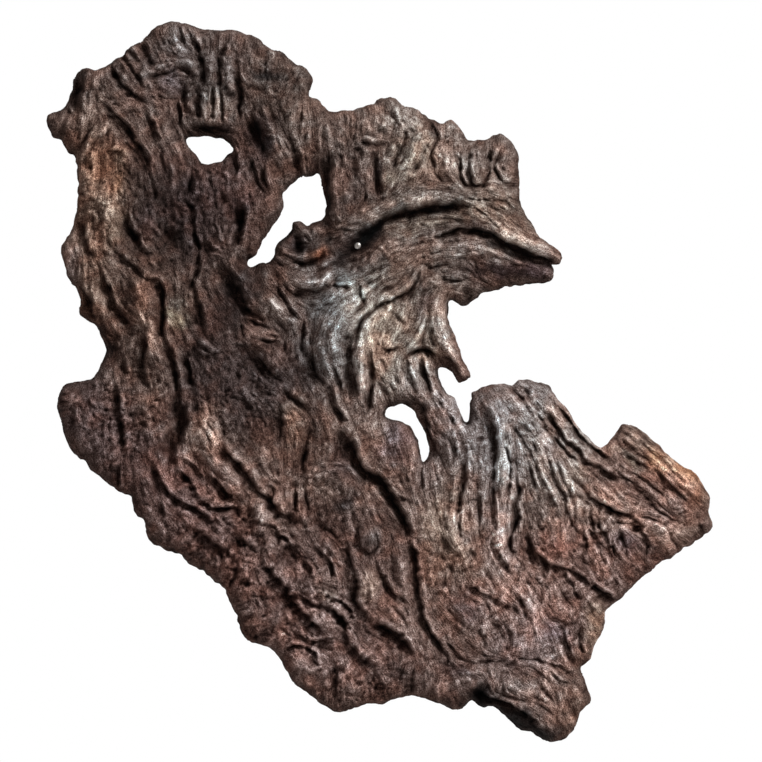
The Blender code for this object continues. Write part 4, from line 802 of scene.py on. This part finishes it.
# Fields that the relief and the colours share. Their order is the order in which the noise is drawn.
SIGNED_RIM = rim_distance()
WANDER_ACROSS = ACROSS + 0.25 * clouds(1.6) + 0.5 * clouds(4) + 0.5 * clouds(11)
WANDER_DOWN = DOWN + 0.25 * clouds(1.6) + 0.5 * clouds(4) + 0.5 * clouds(11)
BROKEN = np.clip(0.90 + 0.36 * clouds(4) + 0.24 * clouds(11), 0.25, 1.35)
RUN_ACROSS, RUN_DOWN = fibre_run()
FINE, STRAND, CORD, STREAK, SPLIT, LONG = smeared(
    [clouds(0.75), clouds(2.0), clouds(4.5), clouds(0.9), clouds(1.1), clouds(1.3)],
    [9, 18, 30, 12, 20, 40], RUN_ACROSS, RUN_DOWN
)
SWAY = 0.75 * clouds(10) + 0.35 * clouds(4)
BLOTCH_ACROSS = ACROSS + 2.5 * clouds(5) + 3 * clouds(14)
BLOTCH_DOWN = DOWN + 2.5 * clouds(5) + 3 * clouds(14)
TOOTHED = widest_share(0, TEETH, 1.3)
SWAY += 1.35 * np.clip(1.5 * TOOTHED, 0, 1)
FLAKE, CHIP, TOOTH = smeared(
    [clouds(0.8), clouds(1.3), clouds(1.7)], [5, 8, 12],
    RUN_ACROSS * np.cos(SWAY) - RUN_DOWN * np.sin(SWAY), RUN_ACROSS * np.sin(SWAY) + RUN_DOWN * np.cos(SWAY)
)
CHIPPED = 0.45 * CHIP + (0.25 + 0.7 * TOOTHED) * TOOTH
BURL = widest_share(0.2, BURLS, 1.0)
CUT = np.maximum(cut_field(GROOVES, 11), cut_field(CREASES, 7)) * (1 - 0.45 * TOOTHED)
CREST = ridge_field(CRESTS)
FIBROUS = 1 - BURL
DRAWN = np.clip((FIBROUS - 0.45) / 0.3, 0, 1)
BLOCK_GAP, BLOCK_LEVEL = blocks(9, 2.2)
CRUMB_GAP, CRUMB_LEVEL = blocks(5, 1.8)
CRUMBLY = np.clip(1.5 * BURL - 0.12, 0, 0.85) * np.clip(0.8 + 0.4 * clouds(9), 0.1, 1.3)
CREVICE = CRUMBLY * (0.9 * np.exp(-(BLOCK_GAP / 1.1) ** 2) + 0.7 * np.exp(-(CRUMB_GAP / 0.8) ** 2))


def knobbly():
    """The lumps and the pits of the burl."""
    lumps = 2.4 * shingled(clouds(5) + 0.3 * clouds(1.8), 0.7) + 3.4 * shingled(clouds(10) + 0.25 * clouds(3), 0.8)
    lumps += 0.8 * (np.abs(clouds(2.6)) - 0.8) + 1.2 * clouds(1.0)
    pits = 2.4 * np.clip(clouds(2.4) - 1.5, 0, None)
    return lumps, pits


def relief():
    """Height of the front over the wall, the part of it that its folds make, and the pits."""
    inside = np.clip(SIGNED_RIM, 0, None)
    roll = np.sqrt(1 - (1 - np.clip(SIGNED_RIM, 0, RIM_REACH) / RIM_REACH) ** 2)
    smooth = (BODY + swell_field(SWELLS)) * (RIM_SHARE + (1 - RIM_SHARE) * roll)
    fade = np.clip(0.35 + inside / EDGE_FADE, 0, 1)
    grooves, lips = groove_field(GROOVES, 1.6)
    creases, small_lips = groove_field(CREASES, 1.2)
    folds = 1.1 * ridge_field(RIDGES) - (1 - 0.25 * TOOTHED) * grooves + lips + 1.2 * CREST
    folds = folds - 1.3 * creases + 1.4 * small_lips
    folds += 1.2 * swell_field(KNOBS) + step_field(STEPS) - 3.0 * CUT
    height = smooth + folds * fade
    layers = (2.1 * shingled(CORD, 0.75) + 1.1 * shingled(STRAND, 0.7)) * (1 - 0.5 * DRAWN) * (1 - 0.6 * TOOTHED)
    threads = 1.0 * FINE + 0.8 * FLAKE + 0.6 * (np.abs(CHIP) - 0.8)
    drawn = 0.6 * LONG - 1.6 * np.clip(SPLIT - 1.1, 0, None)
    lumps, pits = knobbly()
    crumbs = CRUMBLY * (1.0 * BLOCK_LEVEL + 0.6 * CRUMB_LEVEL + 0.5 * np.minimum(BLOCK_GAP, 5)) - 2.0 * CREVICE
    flakes = TOOTHED * (2.5 * shingled(TOOTH, 0.6) + 0.8 * TOOTH + 0.5 * CHIP)
    height += 0.87 * fade * (
        FIBROUS * layers + DRAWN * drawn + threads * (0.5 + 0.5 * FIBROUS) + BURL * 1.1 * (lumps - pits)
    )
    height += 0.9 * fade * ((1.5 + 1.3 * BURL) * clouds(10) + crumbs + flakes)
    height = np.maximum(height, THINNEST)
    detail = height - smooth
    knee = HIGHEST - HIGHEST_FADE
    over = np.clip(height - HIGHEST + HIGHEST_FADE, 0, None)
    height = np.where(over > 0, knee + HIGHEST_FADE * (1 - np.exp(-over / HIGHEST_FADE)), height)
    return height - 2.5 * np.clip(1 - inside / 3.5, 0, 1) ** 2, detail, BURL * pits


def with_seat(height):
    """The front with a small flat place under the screw's head."""
    screw_low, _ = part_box("fixing_screw")
    seat = (-screw_low[1] - SCREW_HEAD_HEIGHT - SCREW_HEAD_GAP) / DEPTH
    distance = np.hypot(ACROSS - SCREW_AT[0], DOWN - SCREW_AT[1])
    share = np.clip((distance - SEAT_RADIUS) / SEAT_FADE, 0, 1)
    share = share * share * (3 - 2 * share)
    return seat * (1 - share) + height * share


HEIGHT, DETAIL, PITS = relief()
HEIGHT = with_seat(HEIGHT)
WALL_NOISE = clouds(2.2)
RAGGED = (0.7 * clouds(1.8) + 0.7 * clouds(4)) * (0.3 + BURL)


def from_screen(*colour):
    """A colour as on a screen, 0 to 255, as light."""
    colour = np.array(colour, float) / 255
    return np.where(colour <= 0.04045, colour / 12.92, ((colour + 0.055) / 1.055) ** 2.4)


def tone_and_painted_shade():
    """How light or dark each square is, as a power: painted shade in the folds' hollows, creases, pits and cracks,
    crests lighter as paler weathered wood and painted highlight, painted shade on rims that face away from the key
    light, flakes, fibres and dirt.
    """
    fine = np.clip(DETAIL - blur(DETAIL, 1.6), -2.5, 2.0)
    middle = np.clip(DETAIL - blur(DETAIL, 4.5), -6, 4.5)
    broad = np.clip(DETAIL - blur(DETAIL, 13), -13, 8)
    inward_down, inward_across = np.gradient(blur(SIGNED_RIM, 3))
    away = np.clip(LIGHT_ACROSS * inward_across - LIGHT_UP * inward_down, 0, 1)
    # Painted shade: darker in the relief's hollows at three sizes, in the floors of creases, in pits and in the
    # cracks between blocks; crests lighter, partly paler weathered wood and partly painted highlight.
    tone = 0.20 * fine + 0.050 * middle + 0.062 * broad - 1.25 * CUT + 0.08 * CREST - 0.10 * PITS - 0.40 * CREVICE
    # Painted shade on the rims that face away from the key light, fading inward from the rim.
    tone -= 1.0 * away * np.exp(-(np.clip(SIGNED_RIM, 0, None) / 11) ** 2)
    tone += CRUMBLY * (0.08 * BLOCK_LEVEL + 0.06 * CRUMB_LEVEL) + 0.15 * TOOTHED * TOOTH
    tone += DRAWN * (0.12 * LONG - 0.35 * np.clip(SPLIT - 1.0, 0, None))
    tone += 0.20 * STREAK * (0.35 + 0.65 * FIBROUS) + 0.18 * FLAKE + 0.20 * clouds(0.7)
    tone += 0.08 * clouds(5) + 0.10 * clouds(12) + 0.10 * clouds(24) - 0.40 * np.clip(clouds(1.3) - 1.1, 0, None)
    return tone[..., None]


def wood_colour_and_painted_shade():
    """The colour of the wood in each square, as light, with the painted shade and highlights of the tone and of the
    near-black tints.
    """
    plain = from_screen(*PLAIN_TINT)
    colour = np.empty((SIDE, SIDE, 3))
    colour[:] = plain
    for *place, red, green, blue, share in TINTS_AND_PAINTED_SHADE:
        part = (share * ellipse_share(*place, 1.3))[..., None]
        colour = colour * (1 - part) + from_screen(red, green, blue) * part
    colour = plain * (colour / plain) ** TINT_CONTRAST
    # The tone adds painted shade in hollows, creases, pits and on rims facing away from the key light, and lighter
    # crests.
    colour = colour * np.exp(tone_and_painted_shade() * SHADE)
    warmth = np.clip(0.05 * clouds(3) + 0.05 * clouds(9), -0.05, 0.11)[..., None]
    colour = colour * (1 + warmth * WARMTH) * BALANCE
    return np.clip(colour, 0.003, 0.8) * EXPOSURE


def link(name, data):
    """A new object of that mesh, curve, lamp or camera, in the scene."""
    made = bpy.data.objects.new(name, data)
    bpy.context.scene.collection.objects.link(made)
    return made


def evaluated_mesh(source):
    """The object's mesh after its modifiers."""
    graph = bpy.context.evaluated_depsgraph_get()
    return bpy.data.meshes.new_from_object(source.evaluated_get(graph))


def vertex_places(mesh):
    """The places of the mesh's vertices in metres, one row each."""
    places = np.empty(len(mesh.vertices) * 3)
    mesh.vertices.foreach_get("co", places)
    return places.reshape(-1, 3)


def set_places(mesh, places):
    """Moves the mesh's vertices to the places."""
    mesh.vertices.foreach_set("co", places.ravel())
    mesh.update()


def outline_plate():
    """The outline with its holes as a flat plate of even thickness, cut into even small faces."""
    curve = bpy.data.curves.new("outline", "CURVE")
    curve.dimensions = "2D"
    curve.fill_mode = "BOTH"
    curve.extrude = PLATE / 2
    for loop in LOOPS:
        spline = curve.splines.new("POLY")
        spline.points.add(len(loop) - 1)
        for point, (x, z) in zip(spline.points, to_metres(loop)):
            point.co = (x, z, 0.0, 1.0)
        spline.use_cyclic_u = True
    guide = link("outline", curve)
    mesh = evaluated_mesh(guide)
    bpy.data.objects.remove(guide)
    plate = link("plate", mesh)
    weld = plate.modifiers.new("weld", "WELD")
    weld.merge_threshold = 0.00001
    remesh = plate.modifiers.new("even faces", "REMESH")
    remesh.mode = "VOXEL"
    remesh.voxel_size = VOXEL
    fine = evaluated_mesh(plate)
    bpy.data.objects.remove(plate)
    places = vertex_places(fine)
    set_places(fine, np.stack([places[:, 0], -places[:, 2] - PLATE / 2, places[:, 1]], axis=1))
    return fine


def rim_inset(across, down, share, level, rim):
    """How far the rim is weathered inward, in squares, by the share of the way from back to front."""
    rough = sample(WALL_NOISE, (across + 0.3 * down + 2.1 * level) % (SIDE - 2), (down + 1.7 * level) % (SIDE - 2))
    inset = 2.6 * np.clip(1 - share / 0.35, 0, 1) ** 2 + 1.6 * np.clip((share - 0.6) / 0.4, 0, 1) ** 2
    inset += np.clip(0.55 + 0.65 * rough, 0, 2) * np.clip(4 * share * (1.2 - share), 0, 1)
    inset += np.clip(0.2 + sample(RAGGED, across, down), -0.6, 3)
    return inset * np.clip(1 - rim / 4, 0, 1)


def carve(mesh):
    """Lifts the plate's front to the relief, bends the rim's back off the wall and weathers the rim."""
    places = vertex_places(mesh)
    share = np.clip(-places[:, 1] / PLATE, 0, 1)
    across, down = to_squares(places[:, 0], places[:, 2])
    rim = np.clip(sample(SIGNED_RIM, across, down), 0, None)
    front = sample(HEIGHT, across, down) * DEPTH
    bend = np.clip(1 - rim * SQUARE_WIDTH / BACK_LIFT_REACH, 0, 1)
    back = BACK_LIFT * (1 - np.sqrt(1 - bend ** 2))
    places[:, 1] = -(back + (front - back) * share)
    inset = rim_inset(across, down, share, -places[:, 1] / DEPTH, rim)
    inward_down, inward_across = np.gradient(blur(SIGNED_RIM, 1.5))
    push_across = sample(inward_across, across, down)
    push_down = sample(inward_down, across, down)
    size = np.maximum(np.hypot(push_across, push_down), 0.2)
    places[:, 0] += inset * push_across / size * SQUARE_WIDTH
    places[:, 2] -= inset * push_down / size * SQUARE_HEIGHT
    set_places(mesh, places)


def fitted(mesh):
    """Scales the mesh by a hair to fill the CAD slab's box, with its back flat on the wall."""
    places = vertex_places(mesh)
    places[places[:, 1] > -NEARLY_FLAT, 1] = 0.0
    for axis in (0, 2):
        low, high = places[:, axis].min(), places[:, axis].max()
        share = (places[:, axis] - low) / (high - low)
        places[:, axis] = WOOD_LOW[axis] + INSIDE + share * (WOOD_HIGH[axis] - WOOD_LOW[axis] - 2 * INSIDE)
    deepest = places[:, 1].min()
    if deepest < WOOD_LOW[1]:
        places[:, 1] *= (WOOD_LOW[1] + INSIDE) / deepest
    set_places(mesh, places)


def screw_way(low, high):
    """A round bar where the screw's shank passes through the wood."""
    steps = 24
    front, behind = -0.1, 0.01
    x = (low[0] + high[0]) / 2
    z = (low[2] + high[2]) / 2
    turns = [2 * math.pi * step / steps for step in range(steps)]
    vertices = [
        (x + SCREW_WAY_RADIUS * math.cos(turn), y, z + SCREW_WAY_RADIUS * math.sin(turn))
        for y in (front, behind) for turn in turns
    ]
    faces = [tuple(range(steps)), tuple(reversed(range(steps, 2 * steps)))]
    faces += [(i, i + steps, (i + 1) % steps + steps, (i + 1) % steps) for i in range(steps)]
    mesh = bpy.data.meshes.new("screw_way")
    mesh.from_pydata(vertices, [], faces)
    return link("screw_way", mesh)


def paint(mesh):
    """Lays the colours with their painted shade and highlights, the run of the fibres and the sawn back on the
    vertices.
    """
    places = vertex_places(mesh)
    across, down = to_squares(places[:, 0], places[:, 2])
    tint_and_painted_shade = np.ones((len(places), 4))
    tint_and_painted_shade[:, :3] = sample(WOOD_COLOUR_AND_PAINTED_SHADE, across, down)
    tints = mesh.color_attributes.new("tint_and_painted_shade", "FLOAT_COLOR", "POINT")
    tints.data.foreach_set("color", tint_and_painted_shade.ravel())
    run = np.stack([RUN_DOWN ** 2 - RUN_ACROSS ** 2, 2 * RUN_ACROSS * RUN_DOWN, BURL], axis=-1)
    runs = mesh.attributes.new("run", "FLOAT_VECTOR", "POINT")
    runs.data.foreach_set("vector", sample(run, across, down).ravel())
    sawn = mesh.attributes.new("sawn", "FLOAT", "POINT")
    sawn.data.foreach_set("value", np.clip(1 + places[:, 1] / SAWN_REACH, 0, 1))


def settle(made):
    """Makes the result of the object's modifiers its own mesh."""
    mesh = evaluated_mesh(made)
    made.modifiers.clear()
    made.data = mesh
    return mesh


def make_wood(material):
    """The wood: plate, relief, fewer faces, the way for the screw, and the paint."""
    mesh = outline_plate()
    carve(mesh)
    wood = link("burl_wood", mesh)
    thin = wood.modifiers.new("fewer faces", "DECIMATE")
    thin.ratio = MOST_TRIANGLES / (2 * len(mesh.polygons))
    thin.use_collapse_triangulate = True
    fitted(settle(wood))
    way = screw_way(*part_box("fixing_screw"))
    cut = wood.modifiers.new("screw way", "BOOLEAN")
    cut.operation = "DIFFERENCE"
    cut.solver = "MANIFOLD"
    cut.object = way
    drilled = settle(wood)
    bpy.data.objects.remove(way)
    drilled.polygons.foreach_set("use_smooth", np.ones(len(drilled.polygons), bool))
    paint(drilled)
    drilled.materials.clear()
    drilled.materials.append(material)
    return wood


class Nodes:
    """Short forms for laying nodes in a material."""

    def __init__(self, name):
        self.material = bpy.data.materials.new(name)
        self.material.use_nodes = True
        self.tree = self.material.node_tree
        self.shader = self.tree.nodes["Principled BSDF"]

    def add(self, kind, **settings):
        node = self.tree.nodes.new("ShaderNode" + kind)
        for key, value in settings.items():
            setattr(node, key, value)
        return node

    def put(self, target, value):
        """Joins a socket to the target, or sets a constant on it."""
        if isinstance(value, bpy.types.NodeSocket):
            self.tree.links.new(value, target)
        else:
            target.default_value = value

    def fill(self, node, **values):
        """Puts each value in the node's input of that name."""
        for name, value in values.items():
            self.put(node.inputs[name.replace("_", " ")], value)
        return node

    def math(self, operation, first, second):
        node = self.add("Math", operation=operation)
        self.put(node.inputs[0], first)
        self.put(node.inputs[1], second)
        return node.outputs[0]

    def plus(self, first, second):
        return self.math("ADD", first, second)

    def times(self, first, second):
        return self.math("MULTIPLY", first, second)

    def spread(self, value, low, high, to_low, to_high):
        node = self.add("MapRange")
        for target, item in zip(node.inputs, (value, low, high, to_low, to_high)):
            self.put(target, item)
        return node.outputs[0]

    def mix(self, share, first, second, kind="MIX"):
        node = self.add("Mix", data_type="RGBA", blend_type=kind)
        self.put(node.inputs[0], share)
        self.put(node.inputs[6], first)
        self.put(node.inputs[7], second)
        return node.outputs[2]

    def noise(self, vector, scale, detail=2.0, rough=0.5, distortion=0.0):
        node = self.fill(
            self.add("TexNoise"), Vector=vector, Scale=scale, Detail=detail, Roughness=rough, Distortion=distortion
        )
        return node.outputs["Fac"]

    def place(self):
        return self.add("TexCoord").outputs["Object"]

    def attribute(self, name, output):
        return self.add("Attribute", attribute_name=name).outputs[output]

    def apart(self, vector):
        node = self.add("SeparateXYZ")
        self.put(node.inputs[0], vector)
        return node.outputs

    def bump(self, height, strength, distance):
        node = self.fill(self.add("Bump"), Strength=strength, Distance=distance, Height=height)
        self.put(self.shader.inputs["Normal"], node.outputs[0])


def fibre_stripes(n, place, run):
    """Light and dark stripes along the run of the fibres, weaker on the burl."""
    run_cosine, run_sine, burl = n.apart(run)
    turn = n.times(n.math("ARCTAN2", run_sine, run_cosine), 0.5)
    x, _, z = n.apart(place)
    flat = n.fill(n.add("CombineXYZ"), X=x, Y=z).outputs[0]
    stripes = 0.0
    for scale, share in ((90.0, 1.0), (170.0, 0.9)):
        fibres = n.fill(
            n.add("TexGabor", gabor_type="2D"),
            Vector=flat, Scale=scale, Frequency=3.6, Anisotropy=0.9, Orientation=turn
        )
        wave = n.math("COSINE", n.times(fibres.outputs["Phase"], 2 * math.pi), 0.0)
        wave = n.times(wave, n.times(fibres.outputs["Intensity"], 2.2))
        stripes = n.plus(n.times(wave, share), stripes)
    return n.times(stripes, n.math("SUBTRACT", 1.0, n.times(burl, 0.6)))


def sawn_wood(n, place):
    """Pale sawn wood for the flat back, and the saw's marks."""
    saw = n.add("TexWave", wave_type="BANDS", bands_direction="Z")
    marks = n.fill(saw, Vector=place, Scale=75.0, Distortion=3.0, Detail=2.0).outputs["Fac"]
    stretched = n.fill(n.add("Mapping"), Vector=place, Scale=(30.0, 30.0, 4.0)).outputs[0]
    grain = n.noise(stretched, 3.0, 5.0, 0.6, 0.6)
    pale = n.mix(n.spread(grain, 0.35, 0.65, 0.0, 1.0), (0.10, 0.068, 0.045, 1), (0.22, 0.16, 0.11, 1))
    return n.mix(n.spread(marks, 0.0, 1.0, 0.0, 0.35), pale, (0.09, 0.06, 0.042, 1)), marks


def wood_material():
    """Weathered wood: vertex tints, which carry painted shade and highlights, with fine fibres, grit and dust
    between them.
    """
    n = Nodes("weathered burl wood, dressed")
    place = n.place()
    sawn = n.attribute("sawn", "Fac")
    stripes = fibre_stripes(n, place, n.attribute("run", "Vector"))
    dust = n.noise(place, 1200.0, 2.0, 0.6)
    grit = n.noise(place, 620.0, 3.0, 0.6)
    patch = n.noise(place, 60.0, 3.0, 0.6)
    tone = n.plus(n.times(stripes, 0.30), n.spread(grit, 0.3, 0.7, -1.2, 1.2))
    tone = n.plus(tone, n.spread(dust, 0.3, 0.7, -1.3, 1.3))
    tone = n.plus(tone, n.spread(patch, 0.3, 0.7, -0.08, 0.08))
    gain = n.math("MAXIMUM", n.plus(tone, 1.0), 0.15)
    shade = n.add("CombineColor")
    for socket, power in zip(shade.inputs, (0.84, 1.0, 1.05)):
        n.put(socket, n.math("POWER", gain, power))
    # The vertex tint carries the painted shade and highlights laid on by paint().
    colour = n.mix(1.0, n.attribute("tint_and_painted_shade", "Color"), shade.outputs[0], "MULTIPLY")
    back, marks = sawn_wood(n, place)
    n.fill(
        n.shader, Base_Color=n.mix(sawn, colour, back), Roughness=n.spread(grit, 0.3, 0.7, 1.0, 0.85),
        Specular_IOR_Level=0.12
    )
    lift = n.plus(n.times(stripes, 0.30), n.times(grit, 1.1))
    lift = n.plus(lift, n.times(dust, 0.5))
    n.bump(n.plus(lift, n.times(n.times(marks, sawn), 0.4)), 1.0, 0.0013)
    return n.material


def steel_material():
    """Dull screw steel with fine scratches and spots of rust."""
    n = Nodes("dull screw steel, dressed")
    place = n.place()
    scratches = n.noise(place, 2600.0, 3.0, 0.6)
    rust = n.spread(n.noise(place, 900.0, 3.0, 0.6), 0.56, 0.68, 0.0, 0.8)
    bright = n.mix(n.spread(scratches, 0.3, 0.7, 0.0, 1.0), (0.42, 0.41, 0.40, 1), (0.66, 0.65, 0.63, 1))
    n.fill(
        n.shader, Base_Color=n.mix(rust, bright, (0.16, 0.075, 0.04, 1)), Metallic=n.math("SUBTRACT", 1.0, rust),
        Roughness=n.spread(scratches, 0.3, 0.7, 0.28, 0.5)
    )
    n.bump(scratches, 0.25, 0.0002)
    return n.material


def floor_material():
    """Plain pale floor with a faint mottle."""
    n = Nodes("pale floor")
    mottle = n.mix(n.noise(n.place(), 6.0), (0.80, 0.80, 0.79, 1), (0.84, 0.84, 0.83, 1))
    n.fill(n.shader, Base_Color=mottle, Roughness=0.9)
    return n.material


def make_floor():
    """A pale floor below the hung piece, out of the front view."""
    mesh = bpy.data.meshes.new("floor")
    corners = [(-2, -1.8, FLOOR_LEVEL), (2, -1.8, FLOOR_LEVEL), (2, 1.4, FLOOR_LEVEL), (-2, 1.4, FLOOR_LEVEL)]
    mesh.from_pydata(corners, [], [(0, 1, 2, 3)])
    mesh.materials.append(floor_material())
    floor = link("floor", mesh)


def make_light(name, place, size, power, colour):
    """A round soft light that faces the middle of the piece."""
    light = bpy.data.lights.new(name, "AREA")
    light.shape = "DISK"
    light.size = size
    light.energy = power
    light.color = colour
    lamp = link(name, light)
    lamp.location = place
    x, y, z = place
    lamp.rotation_euler = (math.atan2(math.hypot(x, y), z), 0.0, math.atan2(x, -y))


def make_world():
    """Soft studio light all round, seen as plain white behind the object."""
    world = bpy.data.worlds.new("studio")
    world.use_nodes = True
    tree = world.node_tree
    soft = tree.nodes["Background"]
    soft.inputs["Color"].default_value = (1.0, 0.90, 0.84, 1.0)
    soft.inputs["Strength"].default_value = AMBIENT
    white = tree.nodes.new("ShaderNodeBackground")
    white.inputs["Color"].default_value = (1.0, 1.0, 1.0, 1.0)
    white.inputs["Strength"].default_value = 1.0
    path = tree.nodes.new("ShaderNodeLightPath")
    mix = tree.nodes.new("ShaderNodeMixShader")
    tree.links.new(path.outputs["Is Camera Ray"], mix.inputs[0])
    tree.links.new(soft.outputs[0], mix.inputs[1])
    tree.links.new(white.outputs[0], mix.inputs[2])
    tree.links.new(mix.outputs[0], tree.nodes["World Output"].inputs["Surface"])
    bpy.context.scene.world = world


def make_camera():
    """A camera square to the wall, so far away that it sees the piece almost without perspective."""
    camera = link("camera", bpy.data.cameras.new("camera"))
    camera.data.lens = CAMERA_AWAY * camera.data.sensor_width / FRAME_WIDTH
    x, z = to_metres((VIEW_MIDDLE, VIEW_MIDDLE))
    camera.location = (x, -CAMERA_AWAY, z)
    camera.rotation_euler = (math.pi / 2, 0, 0)
    bpy.context.scene.camera = camera


WOOD_COLOUR_AND_PAINTED_SHADE = wood_colour_and_painted_shade()
wood = make_wood(wood_material())
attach(wood, "root")
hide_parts("burl_slab")
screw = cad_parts["fixing_screw"]
steel = steel_material()
for slot in screw.material_slots:
    slot.material = steel
make_floor()
make_world()
make_light("key", (1.9, -2.3, 2.2), 1.4, 165.0, (1.0, 0.985, 0.97))
make_light("fill", (-2.6, -2.2, 0.4), 2.0, 10.0, (0.97, 0.98, 1.0))
make_camera()
bpy.context.scene.view_settings.view_transform = "Standard"
